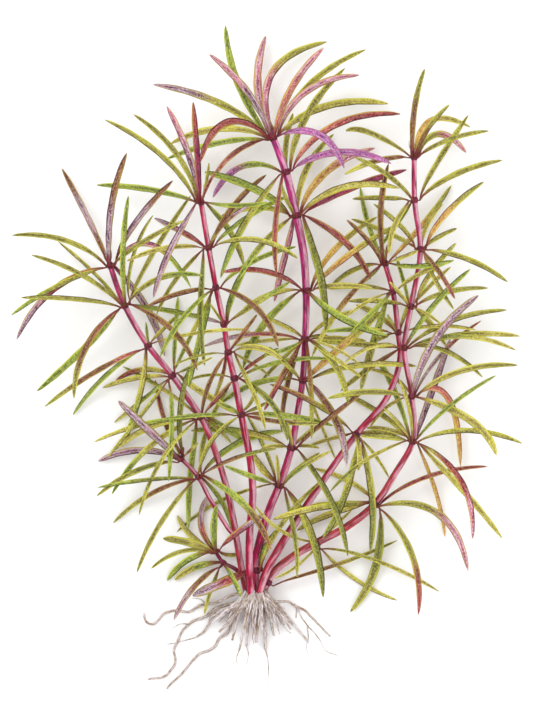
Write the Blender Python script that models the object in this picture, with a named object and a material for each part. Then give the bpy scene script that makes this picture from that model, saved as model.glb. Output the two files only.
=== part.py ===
"""An uprooted Pogostemon stellatus lying on a surface: stems, leaf whorls and roots.

Seven shoots fan out from one root crown. Every stem node carries a whorl of narrow leaves that
grow from a thin ring around the stem. Lengths in the tables are millimetres: X runs to the right
and Y to the shoot tips as one looks down on the plant, and Z is the height above the surface.
"""
import math
import random

import bmesh
import bpy
import numpy as np
from mathutils import Matrix, Vector

MM = 0.001
COLLECTION = "pogostemon_stellatus"

# Stem nodes and the ring that carries a whorl
STEM_GAP = 0.4
RING_WALL = 0.8
RING_HEIGHT = 1.8
SPARE_SECTORS = 2
FEWEST_SECTORS = 7
MOST_SECTORS = 16

# Leaf blades
PETIOLE_REACH = 2.5
LONG_LEAF = 31.0
LONG_STATIONS = (0.40, 0.72)
SHORT_STATIONS = (0.50,)
PETIOLE_SHARE = 0.45
LONG_SHARES = (1.0, 0.78)
SHORT_SHARES = (1.0,)
KEEL_BASE = 0.18
KEEL_SHARE = 0.20
MOST_ROLL = math.radians(17)
TALLEST_RISE = 27.0
DEEPEST_DROP = 20.0

# How the leaves settle between each other
SAMPLES = 17
SETTLE_ROUNDS = 320
SIDES_FIXED_AFTER = 120
PLAN_MARGIN = 1.5
FAN_REACH = 3.0
CLEARANCE = 0.55
FLOOR_MARGIN = 0.15
STIFFNESS = 0.05
BENDING = 0.06
ROLL_SHARE = 0.30

# Each stem: x, y, height of the axis, radius
STEMS = {
    "far_left": (
        (-9.2, -104.5, 6.0, 1.4), (-10.8, -97.0, 7.2, 1.5), (-12.7, -86.0, 9.4, 1.5),
        (-15.0, -72.0, 11.6, 1.45), (-17.6, -59.5, 13.3, 1.4), (-21.3, -47.0, 15.0, 1.4),
        (-29.7, -26.0, 17.0, 1.4), (-35.4, -17.5, 18.0, 1.35), (-42.4, -7.5, 19.5, 1.35),
        (-53.3, 6.0, 21.0, 1.3), (-63.8, 24.0, 22.0, 1.25), (-70.3, 42.0, 22.5, 1.2),
        (-71.2, 45.0, 22.6, 0.8),
    ),
    "inner_left": (
        (-7.0, -104.5, 12.6, 1.6), (-7.7, -93.0, 14.0, 1.7), (-7.4, -75.0, 16.8, 1.65),
        (-6.2, -62.6, 19.2, 1.6), (-6.8, -50.0, 21.8, 1.6), (-11.4, -25.0, 26.2, 1.5),
        (-14.5, -8.7, 28.2, 1.4), (-17.2, 3.0, 29.4, 1.3), (-19.2, 15.8, 30.6, 1.25),
        (-22.7, 32.0, 31.6, 1.2), (-26.0, 50.0, 32.0, 1.2), (-29.4, 70.4, 31.8, 1.15),
        (-29.9, 73.6, 31.7, 0.8),
    ),
    "centre": (
        (-5.4, -104.5, 8.3, 2.0), (-5.2, -95.4, 8.1, 2.15), (-2.6, -81.0, 9.6, 2.0),
        (1.8, -66.6, 11.6, 1.8), (5.8, -57.0, 13.2, 1.7), (11.2, -40.0, 15.8, 1.6),
        (14.2, -23.0, 17.8, 1.4), (16.3, -9.6, 19.0, 1.4), (17.4, 8.9, 20.5, 1.4),
        (17.8, 30.8, 22.0, 1.6), (16.6, 48.0, 23.0, 1.8), (13.5, 64.5, 23.5, 1.8),
        (8.7, 84.0, 24.0, 1.7), (3.0, 99.5, 24.5, 1.5), (1.6, 103.0, 24.6, 1.0),
    ),
    "inner_right": (
        (-2.9, -104.1, 12.4, 1.6), (0.1, -95.6, 12.2, 1.75), (5.3, -86.0, 12.0, 1.75),
        (12.2, -75.0, 12.0, 1.7), (26.0, -54.3, 12.4, 1.5), (40.5, -34.0, 13.4, 1.4),
        (54.2, -17.5, 14.3, 1.35), (59.0, -6.0, 14.8, 1.3), (60.3, 2.0, 15.2, 1.25),
        (59.3, 12.0, 15.8, 1.2), (57.0, 30.4, 17.5, 1.2), (53.4, 43.0, 19.0, 1.15),
        (52.6, 46.0, 19.3, 0.8),
    ),
    "far_right": (
        (-1.0, -104.0, 7.0, 1.6), (0.4, -100.8, 6.9, 1.65), (3.4, -96.2, 6.9, 1.7),
        (12.2, -88.9, 7.8, 1.7), (22.5, -83.0, 9.0, 1.7), (36.3, -75.6, 11.0, 1.7),
        (49.0, -65.3, 13.6, 1.6), (58.0, -51.5, 17.0, 1.4), (65.9, -37.0, 20.0, 1.3),
        (65.4, -16.8, 24.0, 1.2), (62.0, 5.0, 26.5, 1.2), (65.0, 23.6, 28.0, 1.2),
        (69.2, 49.3, 28.5, 1.25), (66.6, 71.4, 28.2, 1.2), (66.4, 90.7, 28.0, 1.15),
        (66.4, 94.0, 28.0, 0.8),
    ),
    "short_branch": (
        (-16.9, -77.0, 11.4, 1.0), (-18.6, -74.4, 11.8, 1.0), (-26.0, -62.2, 13.0, 1.0),
        (-30.8, -53.2, 13.8, 1.0), (-38.4, -45.0, 14.6, 0.9), (-40.4, -43.0, 14.8, 0.6),
    ),
    "side_shoot": (
        (-7.6, -104.4, 3.0, 0.85), (-9.8, -99.2, 3.2, 0.9), (-14.2, -94.8, 4.4, 0.9),
        (-19.4, -92.0, 6.2, 0.85), (-23.0, -86.7, 8.4, 0.8), (-23.9, -84.6, 9.1, 0.6),
    ),
}

# Each whorl: stem, x, y, then its leaves as tip x, tip y, bow, width and tone.
# The bow is how far the middle of a leaf lies left of its chord, seen from its base.
# A number after the tone is the height its tip gains over its base, where that is known.
# A last number is the share of the chord at which the handle of the curve stands, else a half.
WHORLS = {
    "far_left_1": ("far_left", -70.3, 42.0, (
        (-92.4, 86.0, -0.5, 2.6, "brown mauve"), (-62.7, 92.4, 3.4, 3.0, "mauve"),
        (-42.0, 79.9, 2.3, 2.6, "mauve brown"), (-113.9, 55.4, -4.8, 2.4, "olive"),
        (-112.5, 8.8, -7.4, 2.8, "rose mauve"), (-114.5, 19.6, -2.5, 2.2, "olive green"),
        (-46.0, 1.5, 4.2, 3.2, "mauve"), (-33.9, 32.0, 13.9, 2.4, "rose green", 20.0, 0.3),
        (-36.8, 62.0, 1.5, 2.2, "olive"),
    )),
    "far_left_2": ("far_left", -63.8, 24.0, (
        (-62.0, 73.0, 1.6, 2.4, "green", 16.0), (-51.0, 64.6, 3.1, 1.6, "olive", 6.0, 0.58),
        (-34.2, 73.5, 1.3, 2.2, "olive"), (-94.0, 53.0, -1.0, 1.6, "olive", -16.0),
        (-105.3, 46.6, -3.0, 2.2, "olive", 20.0), (-109.8, 27.4, -1.3, 2.2, "olive"),
        (-86.2, -17.6, -6.2, 2.8, "red brown"), (-103.6, -14.5, 0.9, 3.0, "green"),
        (-31.0, -5.0, 6.0, 2.6, "red"), (-27.0, 18.0, 1.0, 2.2, "green"),
        (-28.5, 37.3, 5.9, 2.4, "olive green"),
    )),
    "far_left_3": ("far_left", -53.3, 6.0, (
        (-99.8, -21.5, -2.0, 2.4, "rose olive"), (-87.4, -25.3, -3.0, 2.2, "green"),
        (-65.3, -39.5, 1.9, 2.6, "khaki green"), (-8.5, 13.3, 2.1, 1.6, "khaki"),
        (-40.5, 19.5, 0.4, 1.8, "khaki"), (-54.0, 16.5, 0.0, 1.4, "green"),
    )),
    "far_left_4": ("far_left", -42.4, -7.5, (
        (-74.0, -13.0, -1.8, 2.2, "khaki"), (-68.0, -9.7, -4.0, 2.4, "khaki red"),
        (-71.5, -44.5, 0.0, 1.8, "olive"), (-68.8, -28.8, 0.0, 1.8, "green khaki"),
        (-40.0, 28.3, 0.0, 2.0, "green"), (-44.0, -55.0, 0.5, 2.2, "green"),
        (-24.3, 0.7, 0.0, 1.6, "khaki"), (-13.5, -24.6, 0.4, 2.8, "khaki", 0.0),
    )),
    "far_left_5": ("far_left", -29.7, -26.0, (
        (-65.0, -3.4, -1.2, 1.8, "khaki green", -14.0), (-19.0, 0.8, 1.9, 2.0, "brown"),
        (-15.5, -10.0, 0.0, 2.0, "red rose"), (-77.7, -37.4, -2.7, 2.0, "green khaki", 6.0),
        (-57.3, -70.2, -4.5, 1.8, "olive"), (-69.7, -61.0, -5.0, 2.4, "khaki green"),
        (-70.5, -42.3, -4.0, 2.6, "khaki"), (-10.0, -38.0, 1.5, 2.4, "green"),
        (-15.8, -38.2, 0.8, 1.4, "khaki"), (-35.2, -76.5, -1.8, 2.6, "green"),
    )),
    "inner_left_1": ("inner_left", -29.4, 70.4, (
        (-45.0, 114.0, -2.0, 2.8, "red rose"), (-32.8, 114.8, 0.0, 2.6, "red"),
        (-59.5, 109.4, -4.5, 2.4, "olive"), (-72.7, 107.6, -4.5, 2.4, "olive"),
        (-76.6, 78.5, -2.0, 2.6, "green"), (1.0, 70.0, -1.5, 2.0, "green"),
        (-10.2, 42.0, 3.4, 2.6, "green olive"), (-50.5, 27.5, -2.7, 2.8, "mauve"),
        (-23.0, 83.3, 0.5, 1.6, "red"), (-26.0, 88.5, -0.5, 1.4, "olive"),
    )),
    "inner_left_2": ("inner_left", -26.0, 50.0, (
        (-50.5, 63.5, -0.5, 2.6, "red mauve"), (-0.1, 83.1, 3.0, 2.4, "brown"),
        (-8.2, 68.2, 2.5, 2.0, "brown"), (9.6, 73.4, 2.0, 2.2, "green"),
        (14.0, 44.9, 6.0, 2.4, "olive"), (-62.5, 43.8, -3.0, 2.2, "khaki", 18.0),
        (-49.5, 20.0, -2.9, 2.0, "olive", -10.0), (-27.7, -2.8, -2.7, 2.6, "olive", 10.0),
    )),
    "inner_left_3": ("inner_left", -22.7, 32.0, (
        (13.3, 50.6, 3.0, 2.2, "green"), (-53.5, 23.5, -1.9, 2.2, "brown", 14.0),
        (5.2, 5.5, 5.9, 2.6, "mauve brown"), (-47.5, 1.0, -3.0, 2.2, "green"),
        (-35.0, -12.5, -0.9, 2.8, "green"), (-41.5, -5.0, -0.5, 2.0, "khaki green"),
    )),
    "inner_left_4": ("inner_left", -19.2, 15.8, (
        (10.4, 34.5, 0.0, 2.2, "olive green"), (-33.0, 20.5, 0.1, 1.8, "red khaki"),
        (-25.5, 25.0, 0.0, 1.2, "olive"), (-7.5, 44.5, 1.3, 2.8, "green"),
    )),
    "inner_left_5": ("inner_left", -17.2, 3.0, (
        (-4.3, 19.8, 0.0, 1.8, "red rose"), (7.0, -0.5, 4.0, 2.8, "khaki"),
        (-0.5, -31.8, 2.4, 2.0, "olive mauve", 13.0), (-24.0, -19.0, 0.6, 1.8, "purple khaki"),
        (-41.5, -2.8, -1.5, 1.2, "olive"), (-7.5, 12.8, 0.5, 1.4, "khaki"),
        (1.6, -7.7, 0.9, 1.4, "khaki"),
    )),
    "inner_left_6": ("inner_left", -14.5, -8.7, (
        (5.5, 5.0, 0.8, 1.6, "red olive"), (-36.0, -10.0, -2.2, 1.4, "olive"),
        (29.0, 0.1, 3.2, 2.0, "green"), (9.5, -36.5, 5.5, 2.6, "olive brown"),
    )),
    "inner_left_7": ("inner_left", -11.4, -25.0, (
        (0.5, -19.5, -0.3, 1.6, "olive"), (30.0, -30.0, 1.9, 2.6, "green"),
        (23.5, -28.8, -1.2, 2.2, "brown olive"), (-46.0, -27.0, -0.8, 1.8, "green", -2.0),
        (-21.0, -20.0, -0.5, 1.8, "green"), (-4.3, -12.5, -1.0, 1.6, "khaki"),
    )),
    "centre_1": ("centre", 3.0, 99.5, (
        (-0.3, 146.0, 5.3, 3.4, "rose"), (27.3, 143.3, 14.7, 3.2, "mauve olive"),
        (25.5, 139.2, 3.6, 3.2, "salmon rose"), (44.5, 138.8, 6.0, 2.8, "olive"),
        (41.5, 127.3, 8.0, 3.0, "rose", 16.0), (54.9, 115.3, 7.0, 3.2, "khaki"),
        (34.7, 85.5, 9.3, 3.2, "purple"), (-18.4, 149.4, 5.0, 3.0, "green"),
        (-25.5, 136.3, -3.3, 3.2, "mauve red"), (-51.0, 123.6, -4.5, 3.2, "olive mauve"),
        (-43.4, 97.2, -5.6, 3.0, "khaki"), (-45.0, 90.3, -2.6, 2.6, "green", -14.0),
        (-29.7, 88.0, -13.0, 3.2, "red"), (-24.0, 82.0, -4.0, 2.4, "red rose"),
    )),
    "centre_2": ("centre", 8.7, 84.0, (
        (12.0, 111.0, 1.5, 2.4, "olive"), (35.3, 131.0, 4.5, 3.0, "olive", -8.0),
        (60.2, 110.3, 9.0, 3.0, "mauve red"), (55.8, 87.5, 7.0, 3.2, "purple"),
        (-24.2, 73.0, -9.0, 2.8, "green purple"), (-20.5, 36.5, -3.6, 2.8, "olive green"),
        (4.5, 38.0, -2.5, 2.4, "red"),
    )),
    "centre_3": ("centre", 13.5, 64.5, (
        (30.3, 101.5, 4.5, 2.8, "khaki olive"), (49.0, 95.3, 6.2, 3.2, "tan khaki"),
        (59.5, 76.5, 6.9, 3.0, "khaki"), (63.0, 85.1, 2.0, 3.0, "red"),
        (47.0, 36.0, 5.3, 3.0, "red mauve", -8.0), (26.5, 12.6, 3.9, 3.4, "olive"),
        (3.5, 26.0, -0.5, 2.8, "rose"), (-13.0, 35.0, -2.7, 2.6, "olive green"),
        (-27.8, 84.3, -3.0, 3.4, "green", -14.0), (-20.5, 64.5, -3.8, 2.4, "khaki"),
        (6.8, 78.0, 1.0, 1.8, "olive"),
    )),
    "centre_4": ("centre", 17.8, 30.8, (
        (-19.8, 38.8, -4.5, 2.4, "red"), (50.0, 64.2, 3.7, 2.6, "tan olive"),
        (57.5, 60.0, 1.5, 2.6, "tan olive"), (-12.0, 20.5, -3.7, 2.4, "khaki", -14.0),
        (-10.5, -4.0, -5.1, 3.2, "green"), (54.0, 10.5, -2.8, 3.2, "green"),
        (48.0, 31.5, 2.0, 2.4, "khaki", 14.0),
    )),
    "centre_5": ("centre", 17.4, 8.9, (
        (0.5, 18.3, -0.8, 2.0, "khaki"), (-28.5, 5.5, -3.9, 2.2, "red"),
        (-14.5, 6.0, -1.0, 1.8, "khaki"), (-1.0, 1.8, 1.2, 2.0, "green"),
        (-2.5, -10.0, -0.5, 1.8, "olive"), (-1.0, -23.0, -0.6, 2.6, "brown red"),
        (6.8, -32.5, -2.6, 2.4, "brown"), (20.3, -35.8, 1.1, 2.2, "brown olive"),
        (43.0, -8.5, 0.3, 1.8, "olive khaki"), (36.5, -20.0, 4.6, 2.8, "olive"),
        (28.5, 10.1, 1.0, 1.4, "olive"), (45.0, 8.2, 1.0, 2.0, "khaki"),
        (40.5, 22.0, 2.2, 1.8, "khaki"), (42.3, -3.0, 2.0, 1.4, "khaki"),
    )),
    "centre_6": ("centre", 16.3, -9.6, (
        (1.0, 5.5, 0.0, 2.0, "olive"), (-20.5, -20.0, -4.5, 2.6, "green"),
        (52.0, 21.5, 0.0, 3.2, "tan olive"), (67.5, -3.3, 3.7, 2.6, "olive khaki"),
        (36.0, -47.6, 5.0, 3.4, "mauve", 12.0), (31.2, -45.3, 0.0, 1.3, "khaki"),
    )),
    "centre_7": ("centre", 11.2, -40.0, (
        (36.5, -88.5, 4.9, 2.6, "olive", 16.0), (23.8, -40.2, 1.0, 1.6, "olive"),
        (44.3, -13.8, 0.0, 2.2, "brown rose"), (23.4, -29.6, 0.4, 1.6, "khaki"),
        (9.0, -28.0, -0.3, 1.8, "olive"), (-2.5, -40.3, -1.2, 2.0, "khaki"),
        (-34.0, -32.5, -3.5, 2.8, "khaki green"),
    )),
    "centre_8": ("centre", 5.8, -57.0, (
        (25.5, -107.2, 5.4, 3.4, "olive green", None, 0.42), (13.7, -98.0, 2.5, 2.0, "olive", 16.0),
        (29.0, -41.3, 1.4, 2.0, "green khaki"), (24.0, -42.3, 0.8, 1.6, "olive"),
        (-8.8, -25.3, -1.0, 1.8, "olive"), (4.6, -42.8, 0.0, 1.6, "khaki"),
        (-6.5, -42.0, 1.2, 2.8, "khaki"), (-18.5, -48.0, 0.3, 2.2, "green"),
        (-40.5, -78.2, -4.6, 1.6, "olive", -17.0),
    )),
    "centre_9": ("centre", -5.2, -95.8, (
        (24.5, -55.0, 2.8, 2.2, "olive", 9.0), (6.5, -75.5, 1.0, 2.8, "green", 3.0),
        (-33.3, -106.8, -0.4, 4.4, "mauve rose", 8.0),
    )),
    "far_right_10": ("far_right", 1.8, -99.2, (
        (59.0, -82.0, -2.0, 1.8, "brown olive", -5.0),
    )),
    "inner_right_1": ("inner_right", 53.4, 43.0, (
        (54.7, 87.5, 2.8, 2.6, "red olive"), (36.0, 62.3, -1.0, 2.0, "red brown"),
        (42.4, 77.4, 1.6, 2.2, "green"), (54.8, 52.0, 0.0, 1.2, "red"),
        (83.5, 78.5, -1.6, 2.4, "tan olive"), (68.0, 48.5, -0.2, 1.8, "khaki"),
        (84.0, 44.2, -2.0, 2.2, "green"), (29.0, 32.5, -3.0, 2.2, "olive"),
        (20.5, 1.0, -3.6, 2.4, "brown khaki"), (41.0, 32.5, 0.0, 1.6, "green"),
    )),
    "inner_right_2": ("inner_right", 57.0, 30.4, (
        (82.0, 43.5, 1.5, 2.0, "khaki"), (28.0, 31.6, -1.8, 2.2, "olive khaki"),
        (35.6, 18.8, -1.4, 1.6, "khaki"), (38.0, 11.5, 0.0, 2.4, "green"),
        (42.6, -14.0, -1.2, 3.2, "green olive"),
    )),
    "inner_right_3": ("inner_right", 59.3, 12.0, (
        (66.5, 31.0, 0.0, 1.8, "khaki"), (94.0, 13.0, 2.3, 1.8, "khaki"),
        (26.0, 12.3, -1.2, 2.2, "khaki green"), (54.0, 20.0, 0.0, 1.2, "olive"),
        (40.5, 24.4, -1.7, 2.6, "khaki"), (47.0, 7.0, -0.5, 1.8, "khaki"),
    )),
    "inner_right_4": ("inner_right", 40.5, -34.0, (
        (1.5, -11.3, -2.7, 2.4, "olive brown"), (19.5, -39.2, -0.8, 1.8, "khaki"),
        (59.0, -34.2, 1.2, 2.0, "olive"), (25.3, -80.8, 3.5, 3.0, "olive"),
        (46.7, -86.8, 3.7, 3.0, "olive green", 9.0), (54.9, -53.2, 1.0, 1.5, "olive"),
        (41.0, -50.0, 1.0, 2.4, "khaki"),
    )),
    "far_right_1": ("far_right", 66.4, 90.7, (
        (71.1, 130.4, 2.4, 2.6, "brown olive"), (81.8, 113.8, 2.0, 2.2, "brown olive"),
        (91.9, 104.7, 11.0, 2.6, "red olive"), (90.1, 93.2, 9.5, 3.0, "olive rose"),
        (99.6, 102.2, 2.3, 2.2, "olive"), (35.8, 102.9, -3.2, 2.4, "olive", None, 0.85),
        (35.0, 82.7, -2.5, 2.4, "brown olive"),
    )),
    "far_right_2": ("far_right", 66.6, 71.4, (
        (90.8, 109.7, 0.5, 2.4, "olive"), (105.7, 89.1, 3.0, 2.6, "olive"),
        (39.6, 90.2, -2.0, 2.2, "olive"), (38.8, 72.3, -0.8, 2.2, "olive"),
        (50.8, 50.0, 0.0, 1.8, "green"), (54.8, 47.0, -3.2, 2.4, "khaki"),
    )),
    "far_right_3": ("far_right", 69.2, 49.3, (
        (97.8, 79.7, 2.6, 2.6, "tan olive"), (79.5, 70.0, 2.0, 2.0, "khaki"),
        (85.9, 58.9, 0.8, 2.0, "olive"), (108.4, 34.6, 3.3, 2.4, "olive"),
        (38.3, 63.2, -1.1, 2.2, "olive"), (48.1, 69.7, -1.4, 2.0, "olive", 6.0),
        (84.2, 27.0, 1.0, 2.2, "red"), (83.9, 22.4, -1.0, 2.0, "brown", 14.0),
    )),
    "far_right_4": ("far_right", 65.0, 23.6, (
        (58.5, 46.5, 0.0, 1.8, "green"), (55.0, 34.5, 0.0, 1.8, "khaki"),
        (36.8, 26.1, -1.3, 2.2, "olive"), (99.3, 31.8, 2.6, 2.2, "olive"),
        (85.2, 52.0, 1.5, 2.4, "khaki olive", 2.0), (83.0, 41.5, 0.5, 2.0, "khaki"),
        (81.0, 6.0, 1.5, 2.6, "khaki"), (78.0, 15.5, 0.8, 1.4, "khaki"),
    )),
    "far_right_5": ("far_right", 62.0, 5.0, (
        (23.0, 8.2, 0.0, 2.4, "olive"), (34.9, -1.8, -4.0, 1.8, "khaki", None, 0.4),
        (33.5, -14.5, -1.2, 2.4, "brown olive"), (108.3, 22.1, 4.1, 2.4, "olive"),
        (114.0, 10.3, 3.2, 2.6, "tan brown"), (111.7, 4.0, 5.7, 2.2, "olive khaki"),
        (97.3, -8.2, 5.2, 2.2, "olive brown", -10.0, 0.4), (91.3, 40.2, 2.2, 2.4, "green"),
    )),
    "far_right_6": ("far_right", 65.4, -16.8, (
        (97.0, 17.3, 3.0, 1.8, "red"), (95.0, 28.5, 5.3, 3.6, "mauve", 18.0),
        (112.5, -2.8, 4.8, 2.6, "khaki olive"), (102.9, -43.0, 6.2, 3.4, "khaki", None, 0.7),
        (87.6, -48.5, 13.0, 2.8, "red rose", None, 0.0), (27.5, -17.6, -2.5, 2.6, "olive"),
        (46.5, -31.5, -2.9, 1.6, "khaki"), (46.0, -4.7, -2.9, 1.8, "khaki"),
    )),
    "far_right_7": ("far_right", 65.9, -37.0, (
        (50.3, -2.0, -1.9, 2.6, "green", None, 0.95), (59.5, -9.0, -1.5, 1.8, "khaki"),
        (35.5, -15.8, -1.9, 2.4, "olive"), (52.5, -22.0, -0.5, 1.6, "khaki"),
        (45.0, -31.2, -2.0, 2.0, "khaki"), (42.0, -34.5, -0.8, 2.4, "olive"),
        (83.0, 9.0, -0.5, 3.0, "mauve"), (102.6, -7.5, 2.2, 1.8, "green"),
        (114.5, -37.8, 5.3, 2.4, "khaki olive"), (92.3, -80.5, 9.0, 2.6, "olive red rose"),
        (106.2, -80.8, 1.6, 2.6, "khaki"), (80.6, -80.3, 2.6, 1.8, "tan"),
        (28.5, -59.5, -3.8, 1.8, "khaki"),
    )),
    "far_right_8": ("far_right", 49.0, -65.3, (
        (21.6, -49.4, -2.9, 2.2, "khaki", None, 0.35), (3.0, -72.0, -2.2, 3.0, "khaki green"),
        (20.0, -66.0, -0.3, 2.2, "khaki"), (13.8, -77.4, -2.2, 2.8, "khaki green", -12.0),
        (90.6, -95.2, 13.0, 3.2, "olive rose purple"), (99.7, -48.5, 4.2, 2.0, "red"),
        (68.4, -115.2, 7.0, 2.8, "olive red"), (38.0, -114.2, 6.6, 3.6, "olive green"),
    )),
    "far_right_9": ("far_right", 22.5, -83.0, (
        (78.0, -105.0, 2.6, 1.8, "tan khaki"), (59.0, -109.0, -3.2, 1.8, "khaki", -14.0),
        (38.5, -68.3, 0.0, 1.4, "khaki"), (3.5, -98.5, 2.2, 1.4, "khaki"),
        (-5.0, -66.0, 3.5, 1.6, "khaki"),
    )),
    "short_branch_1": ("short_branch", -38.4, -45.0, (
        (-34.8, -4.0, 2.4, 2.4, "olive"), (-50.3, -9.5, 1.8, 2.2, "brown red"),
        (-66.6, -18.8, 0.5, 3.6, "mauve"), (-76.0, -46.2, -4.5, 3.0, "mauve red"),
        (-76.4, -61.7, -3.2, 2.4, "olive"), (-37.5, -39.8, 0.0, 1.2, "red"),
        (-30.5, -37.5, 0.0, 1.4, "red olive"),
    )),
    "short_branch_2": ("short_branch", -30.8, -53.2, (
        (-17.0, -13.0, 3.2, 2.2, "olive"), (-12.8, -26.0, 4.0, 2.0, "olive"),
        (7.5, -32.5, 4.8, 2.8, "green"), (4.5, -40.3, 2.4, 1.8, "brown olive"),
        (-75.8, -57.7, -1.2, 1.8, "olive khaki"), (-69.3, -74.2, -3.5, 2.2, "brown olive"),
        (-58.4, -96.2, -3.0, 2.2, "olive"), (-15.8, -77.0, 3.0, 2.0, "green"),
        (2.0, -85.5, 5.8, 3.0, "green olive"),
    )),
    "side_shoot_1": ("side_shoot", -23.0, -86.7, (
        (-26.5, -61.8, 4.8, 2.8, "mauve"), (-22.5, -66.0, 1.0, 3.0, "green"),
        (-0.3, -69.3, 0.8, 2.6, "mauve"), (-40.3, -70.8, 2.4, 2.6, "khaki"),
        (-46.5, -80.6, -1.0, 3.4, "khaki olive"), (-51.8, -94.2, -3.9, 2.0, "olive"),
        (-45.0, -100.2, -3.2, 2.8, "green"), (-12.5, -88.3, -1.0, 1.8, "khaki"),
    )),
    "side_shoot_2": ("side_shoot", -19.4, -92.0, (
        (-41.5, -99.9, -2.3, 2.8, "green khaki"), (-41.7, -117.6, -2.9, 2.6, "mauve"),
        (-28.1, -115.3, -1.0, 1.8, "green khaki"), (-11.5, -106.8, 0.8, 2.0, "green"),
    )),
}

# Root crown: centre, half sizes along X and Z, and its flat upper end that the stems stand on
CROWN_CENTRE = (-5.0, 8.2)
CROWN_HALF = (6.8, 6.9)
CROWN_TOP_Y = -105.0
CROWN_LENGTH = 4.0
CROWN_SIDES = 12

# Long roots: x, y, height of the axis, radius
LONG_ROOTS = {
    "root_long_1": (
        (-13.0, -106.0, 8.0, 0.75), (-18.0, -107.6, 6.6, 0.75), (-23.0, -110.2, 3.0, 0.7),
        (-27.5, -110.8, 0.9, 0.65), (-31.0, -112.0, 0.6, 0.6), (-34.5, -114.0, 0.6, 0.6),
        (-44.0, -114.1, 0.6, 0.55), (-47.0, -115.8, 0.6, 0.55), (-49.4, -118.6, 0.6, 0.5),
        (-51.6, -119.9, 0.6, 0.5), (-54.0, -119.2, 0.6, 0.5), (-55.2, -117.2, 0.6, 0.45),
        (-55.2, -115.0, 0.6, 0.4),
    ),
    "root_long_2": (
        (-12.0, -109.2, 7.2, 0.8), (-17.0, -110.9, 4.6, 0.75), (-22.5, -112.4, 1.8, 0.7),
        (-27.0, -116.0, 0.7, 0.65), (-35.0, -119.8, 0.6, 0.6), (-38.2, -123.2, 0.6, 0.55),
        (-40.2, -127.6, 0.6, 0.55), (-41.9, -132.2, 0.6, 0.5), (-41.2, -136.2, 0.6, 0.5),
        (-42.8, -140.3, 0.6, 0.5), (-45.2, -142.8, 0.6, 0.5), (-53.5, -144.9, 0.5, 0.4),
    ),
    "root_long_3": (
        (-10.4, -109.2, 10.4, 0.75), (-15.6, -112.2, 8.8, 0.75), (-20.5, -113.6, 6.0, 0.7),
        (-24.0, -117.0, 3.4, 0.65), (-26.6, -120.6, 1.6, 0.6), (-28.6, -123.6, 0.8, 0.5),
        (-31.6, -125.6, 0.6, 0.4),
    ),
    "root_long_4": (
        (-9.4, -109.2, 3.6, 0.8), (-12.4, -113.4, 2.8, 0.75), (-15.6, -119.0, 1.4, 0.7),
        (-17.6, -123.6, 0.7, 0.65), (-21.0, -126.2, 0.6, 0.65), (-23.4, -129.8, 0.6, 0.6),
        (-26.4, -132.0, 0.6, 0.6), (-30.6, -133.4, 0.6, 0.55), (-33.2, -136.2, 0.6, 0.5),
        (-40.6, -144.6, 0.6, 0.45), (-43.4, -146.9, 0.6, 0.4), (-45.0, -149.2, 0.6, 0.35),
    ),
    "root_long_5": (
        (2.6, -109.1, 8.0, 0.7), (6.4, -109.6, 6.6, 0.65), (10.6, -110.0, 3.6, 0.6),
        (13.2, -111.8, 1.6, 0.55), (17.2, -113.6, 0.8, 0.5), (20.6, -117.0, 0.6, 0.5),
        (28.8, -125.4, 0.6, 0.4),
    ),
}

# Short roots of the tuft, grown in one with the crown
TUFT_ROOTS = (
    ((-8.6, -106.0, 8.8, 0.8), (-11.8, -114.0, 8.2, 0.75), (-18.6, -121.0, 6.0, 0.6)),
    ((-8.6, -106.0, 5.4, 0.8), (-13.2, -115.0, 4.8, 0.75), (-21.4, -123.4, 3.8, 0.6)),
    ((-8.8, -106.0, 9.0, 0.8), (-12.6, -116.0, 8.6, 0.75), (-15.5, -127.0, 6.6, 0.55)),
    ((-7.4, -106.0, 12.4, 0.8), (-9.6, -118.0, 12.2, 0.75), (-12.3, -131.4, 9.0, 0.5)),
    ((-7.0, -106.0, 4.6, 0.8), (-8.0, -117.0, 3.6, 0.8), (-9.2, -129.4, 1.4, 0.55)),
    ((-5.4, -106.0, 9.6, 0.9), (-4.8, -117.0, 8.2, 0.95), (-4.6, -128.0, 6.0, 0.8)),
    ((-3.6, -106.0, 12.0, 0.8), (-2.4, -115.0, 12.2, 0.85), (-1.8, -124.0, 10.0, 0.7)),
    ((-2.6, -106.0, 4.8, 0.8), (-1.0, -118.0, 3.8, 0.85), (-0.5, -131.2, 1.4, 0.7)),
    ((-1.0, -106.0, 9.4, 0.75), (1.6, -113.0, 8.8, 0.65), (3.0, -117.6, 7.6, 0.5)),
    ((0.0, -106.0, 11.4, 0.75), (4.4, -112.0, 11.0, 0.65), (11.0, -122.0, 7.0, 0.45)),
    ((0.2, -106.0, 5.8, 0.75), (8.0, -114.6, 3.4, 0.6), (18.8, -128.0, 1.0, 0.45)),
)

# Tones of the drawing: red, green and blue of the leaf, stem and root colours
TONES = {
    "olive": (0.30, 0.31, 0.07), "green": (0.33, 0.42, 0.09), "khaki": (0.52, 0.48, 0.11),
    "tan": (0.52, 0.34, 0.11), "brown": (0.36, 0.15, 0.10), "red": (0.35, 0.04, 0.10),
    "mauve": (0.42, 0.19, 0.27), "rose": (0.50, 0.17, 0.25), "purple": (0.48, 0.14, 0.38),
    "salmon": (0.56, 0.24, 0.17),
}
STEM_COLOUR = (0.55, 0.04, 0.16)
ROOT_COLOUR = (0.42, 0.33, 0.27)
LEAF_ROUGHNESS = 0.55
STEM_ROUGHNESS = 0.42
ROOT_ROUGHNESS = 0.85


def clear_objects():
    """Empty the file of the objects that Blender starts with."""
    for item in list(bpy.data.objects):
        bpy.data.objects.remove(item, do_unlink=True)


def part_collection():
    """Make the collection that holds the plant."""
    collection = bpy.data.collections.new(COLLECTION)
    bpy.context.scene.collection.children.link(collection)
    return collection


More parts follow.
